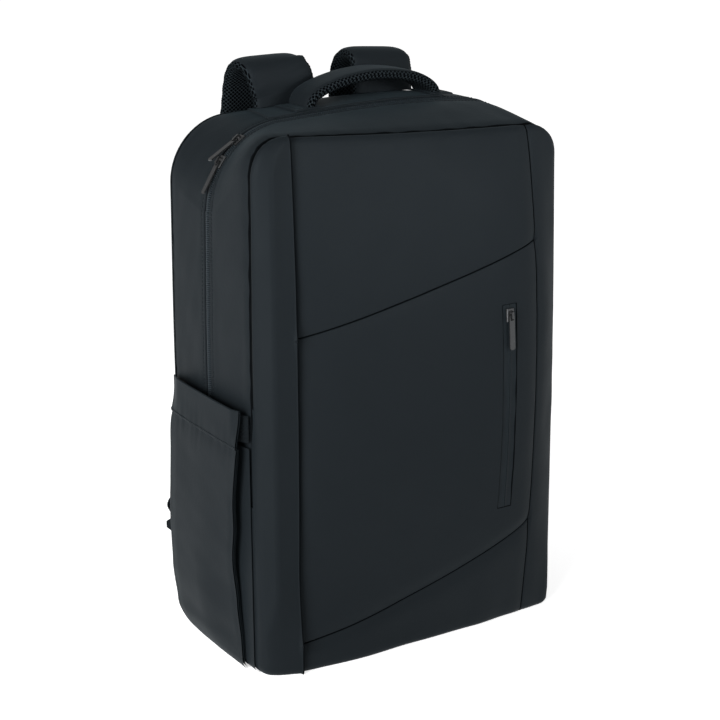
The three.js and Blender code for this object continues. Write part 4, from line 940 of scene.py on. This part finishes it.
def pad_section(distance, width, height, lift, edge):
    """Section of a pad for each ring: its crowned face, then its flat side. Its mesh edge is uneven, and a
    shallow seam parts that from the cloth of the face."""
    across = np.sin(np.linspace(-math.pi / 2, math.pi / 2, PAD_CORNERS))
    crown = (1 - np.abs(across) ** 5) ** 0.45
    ring_across = np.concatenate([across, across[::-1][1:-1]])[None]
    ring_height = np.concatenate([crown, np.zeros(PAD_CORNERS - 2)])[None]
    wide = np.reshape(width, (-1, 1)) / 2
    inset = (1 - np.abs(ring_across)) * wide
    outer = 1 - smooth(inset, edge - 0.5, edge + 0.3)
    turns = distance[:, None]
    knots = np.sin(turns * 2 * math.pi / MESH_PITCH) * np.sin(turns * 1.13 + ring_across * 2) * outer
    dip = np.where(ring_height > 0, -np.sign(height) * hollow(inset - edge - 0.4, 0.55, 0.9), 0)
    return np.stack([
        ring_across * (wide + MESH_EDGE_WAVE * knots),
        lift + ring_height * height * (1 + MESH_EDGE_SWELL * knots) + dip,
    ], -1)


def edge_marks(width, edge):
    """1 for the faces of a pad's section that belong to its mesh edge, otherwise 0."""
    angle = np.linspace(-math.pi / 2, math.pi / 2, PAD_CORNERS)
    middle = np.abs(np.sin((angle[:-1] + angle[1:]) / 2))
    face = ((1 - middle) * width / 2 < edge).astype(int)
    return np.concatenate([face, np.zeros(PAD_CORNERS - 1, int)])


def add_pads(name, path, hints, width, sizes, stand, ends):
    """The cover and the mesh of the handle or a strap. The rings at the given ends stand on the top."""
    for piece_name, node, look, height, lift in (
        ("pad", "cover", "shell", sizes["cover"], 0),
        ("inside", "mesh", "mesh", -sizes["swell"] * sizes["mesh"], -sizes["gap"]),
    ):
        rings = swept(path, hints, pad_section(lengths_along(path), width, height, lift, sizes["edge"]))
        for end in ends:
            rings[end, :, 2] = top_height(rings[end, :, 0], rings[end, :, 1]) + stand
        build = Build().grid(rings, edge_marks(np.mean(width), sizes["edge"]), closed=True)
        for ring in (rings[:1], rings[-1:]):
            centre = ring.mean(axis=1, keepdims=True)
            build.grid(np.concatenate([ring, centre + 0 * ring]), closed=True)
        piece = build.object(f"{name}_{piece_name}", [look, "mesh"], f"{name}_{node}")


def add_handle():
    across, rise = np.array(HANDLE_ROWS).T
    x = HANDLE["middle"] + across * HANDLE["half"]
    stand = ON_YOKE + HANDLE_END_WALL + LAYER_GAP
    z = top_height(x, HANDLE["depth"]) + stand + rise * HANDLE["rise"]
    path = curve_through(np.stack([x, np.full_like(x, HANDLE["depth"]), z], -1), 170)
    add_pads("handle", path, -BACKWARDS, HANDLE["width"], HANDLE, stand, ends=(0, -1))
    for side, name in SIDES.items():
        add_handle_end(side, name)


def add_handle_end(side, name):
    """A sewn end of the handle, on the yoke."""
    start = HANDLE["middle"] + side * (HANDLE["half"] - HANDLE["cover"] - HANDLE["mesh"])
    finish = start + side * HANDLE["end"]
    front = HANDLE["depth"] - HANDLE["width"] / 2
    x = clustered(min(start, finish), max(start, finish), 2.0)[None, :]
    y = clustered(front, front + HANDLE["width"], 2.0)[:, None]
    edge = np.minimum(np.minimum(x - x.min(), x.max() - x), np.minimum(y - y.min(), y.max() - y))
    top, inset = ON_YOKE + HANDLE_END_WALL, HANDLE["end_stitch"]
    build = Build().grid(on_top(x, y, top - turned(edge, 1.2) - hollow(edge - inset, 0.3, 0.9)))
    left, right, near, far = x.min() + inset, x.max() - inset, y.min() + inset, y.max() - inset
    corners = np.array([(left, near), (right, near), (right, far), (left, far), (left, near)])
    for a, b in zip(corners, corners[1:]):
        line = lerp(a[None], b[None], np.linspace(0, 1, 20)[:, None])
        path = on_top(line[:, 0], line[:, 1], top - 0.3)
        stitches(build, path, np.tile(UPWARDS, (len(path), 1)), mark=1)
    build.object(f"handle_{name}_patch", ["shell", "thread"], f"handle_{name}_end")


def strap_path(side):
    root = top_height(STRAP["spacing"] / 2, STRAP["depth"]) + ON_YOKE

    def place(outward, lean, depth, z):
        across = lerp(STRAP["spacing"] / 2, STRAP["end_spread"] / 2, outward) + lean * STRAP_LEAN[side]
        return (STRAP["aside"] + side * across, STRAP["depth"] + depth * STRAP["reach"], z)

    rising = [place(o, a, d, root + r * STRAP["rise"]) for o, a, d, r in STRAP_RISE_ROWS]
    falling = [place(o, a, d, lerp(HEIGHT, STRAP["end_height"], f)) for o, a, d, f in STRAP_FALL_ROWS]
    return curve_through(rising + falling, 420)


def add_strap(side, name):
    path = strap_path(side)
    share = np.linspace(0, 1, len(path))
    lean = math.sin(math.radians(STRAP_TILT[side])) * smooth(share, 0.01, 0.09) * smooth(1 - share, 0, 0.3)
    hints = np.stack([np.ones_like(share), 0 * share, -side * lean], -1)
    width = lerp(STRAP["width"], STRAP["end_width"], smooth(share, 0.45, 1))
    add_pads(f"{name}_strap", path, hints, width, STRAP, ON_YOKE, ends=(0,))
    add_strap_end(side, name, path[-1])


def add_ribbon(name, path, hints, width, node):
    Build().tube(ribbon(path, hints, width)).object(name, ["ribbon"], node)


def add_strap_end(side, name, end):
    """Loop, tab and webbing. The webbing runs from the tab up through the ladder lock and back down."""
    lock_top = end[2] - WEBBING_WALL - 3 * LAYER_GAP - 1
    clear = LOCK_WALL / 2 + LAYER_GAP + WEBBING_WALL / 2

    def at(depth, z):
        return (end[0], end[1] + depth, z)

    bar_foot = lock_top - LOCK_BAR - LAYER_GAP - WEBBING_WALL / 2
    start = end[2] - LAYER_GAP
    loop = curve_through([
        at(-clear, start), at(-clear, bar_foot + 2), at(-clear * 0.6, bar_foot),
        at(clear * 0.6, bar_foot), at(clear, bar_foot + 2), at(clear, start),
    ], 40)
    add_ribbon(f"{name}_strap_loop_ribbon", loop, RIGHTWARDS, WEBBING_WIDTH, f"{name}_strap_loop")

    root = np.array([side * (HALF + TAB["wall"]), DEPTH, TAB["height"]])
    tip = root + TAB["reach"] * np.array([side, TAB["slope"], 0])
    tab = np.linspace(root, tip + np.array([side * TAB["past"][0], TAB["past"][1], 0]), 12)
    narrowing = np.linspace(TAB["width"], TAB["tip"], len(tab))
    add_ribbon(f"{name}_strap_tab_ribbon", tab, UPWARDS, narrowing, f"{name}_strap_tab")

    lock_foot = lock_top - LOCK_HEIGHT
    bar = lock_foot + (LOCK_HEIGHT + LOCK_BAR) / 2
    under_bar, beside_bar = bar - LOCK_BAR - 5, bar - LOCK_BAR / 2
    rising = [
        (lerp(tip[0], end[0], inwards), lerp(tip[1], end[1] - clear, back), lerp(tip[2], lock_foot, up))
        for inwards, back, up in WEBBING_ROWS
    ]
    through = [
        at(-clear - 1.3, lock_foot + 1), at(-clear - 0.2, under_bar), at(-clear, beside_bar),
        at(-clear * 0.95, bar + 1), at(0, bar + clear + 0.4), at(clear * 0.95, bar + 1),
        at(clear, beside_bar), at(clear, under_bar), at(clear + 0.5, lock_foot - 4),
    ]
    tail = [at(clear + 2.5, lock_foot - WEBBING_TAIL / 2), at(clear + 1.5, lock_foot - WEBBING_TAIL)]
    path = curve_through(rising + through + tail, 220)
    share = np.linspace(0, 1, len(path))
    hints = np.stack([side * smooth(share, 0, 0.3), 0 * share, 1 - smooth(share, 0.05, 0.35)], -1)
    width = lerp(TAB["tip"], WEBBING_WIDTH, smooth(share, 0, 0.1))
    add_ribbon(f"{name}_strap_ribbon", path, hints, width, f"{name}_strap_webbing")


def dress_hard_parts():
    """The sliders, pulls and ladder locks are shown as the CAD has them."""
    for name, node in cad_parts.items():
        if node.hide_render:
            continue
        node.data.materials.clear()
        node.data.materials.append(LOOKS["buckle_plastic" if name.endswith("_lock") else "zip_metal"])


add_front()
add_gussets()
add_main_zip()
add_front_zip()
add_lower_body()
add_back()
for pocket_side, side_name in SIDES.items():
    add_pocket(pocket_side, side_name)
add_yoke()
add_handle()
for strap_side, side_name in SIDES.items():
    add_strap(strap_side, side_name)
dress_hard_parts()


# Camera at the photograph's angle, and the stage, in metres
CAMERA_PLACE = (-0.80827, -1.38165, 0.70681)
YAW, PITCH, ROLL_ANGLE = (math.radians(degrees) for degrees in (30.18, 16.4, -0.38))
LENS, SENSOR = 95.2, 36
FLOOR_SIZE, FLOOR_GLOW, WORLD_GLOW = 40, 0.64, 0.42
# Soft boxes: name, place, target, size, power in watts and spread in degrees
LIGHTS = [
    ("side_softbox", (-2.35, -1.2, 0.8), (0, 0, 0.25), (1.6, 1.2), 128, 180),
    ("rim_softbox", (2.4, -0.5, 0.8), (0.1, 0, 0.25), (0.8, 1.0), 8, 180),
    ("front_softbox", (0.25, -0.95, 0.62), (0.0, -0.08, 0.5), (0.5, 0.25), 1.0, 55),
]


def add_camera():
    camera = bpy.data.objects.new("camera", bpy.data.cameras.new("camera"))
    camera.data.lens, camera.data.sensor_width = LENS, SENSOR
    camera.matrix_world = Matrix.Translation(CAMERA_PLACE)
    for angle, axis in ((-YAW, "Z"), (math.pi / 2 - PITCH, "X"), (ROLL_ANGLE, "Z")):
        camera.matrix_world = camera.matrix_world @ Matrix.Rotation(angle, 4, axis)
    scene.collection.objects.link(camera)
    scene.camera = camera


def add_light(name, place, target, size, power, spread):
    data = bpy.data.lights.new(name, "AREA")
    data.shape = "RECTANGLE"
    data.size, data.size_y = size
    data.energy = power
    data.spread = math.radians(spread)
    lamp = bpy.data.objects.new(name, data)
    lamp.location = place
    lamp.rotation_euler = (Vector(target) - Vector(place)).to_track_quat("-Z", "Y").to_euler()
    scene.collection.objects.link(lamp)


def add_stage():
    bpy.ops.mesh.primitive_plane_add(size=FLOOR_SIZE)
    floor = bpy.context.object
    floor.name = "floor"
    look = Look("floor_paper", (0.9, 0.9, 0.9), roughness=0.8, specular=0.1)
    look.bump(look.grain(scale=40, detail=3.0), distance=0.00002, strength=0.1)
    preset(look.shader, {"Emission Color": (1, 1, 1, 1), "Emission Strength": FLOOR_GLOW})
    floor.data.materials.append(look.material)
    world = bpy.data.worlds.new("world")
    scene.world = world
    world.use_nodes = True
    preset(world.node_tree.nodes["Background"], {"Color": (1, 1, 1, 1), "Strength": WORLD_GLOW})
    scene.view_settings.view_transform = "Standard"
    for light in LIGHTS:
        add_light(*light)


add_camera()
add_stage()
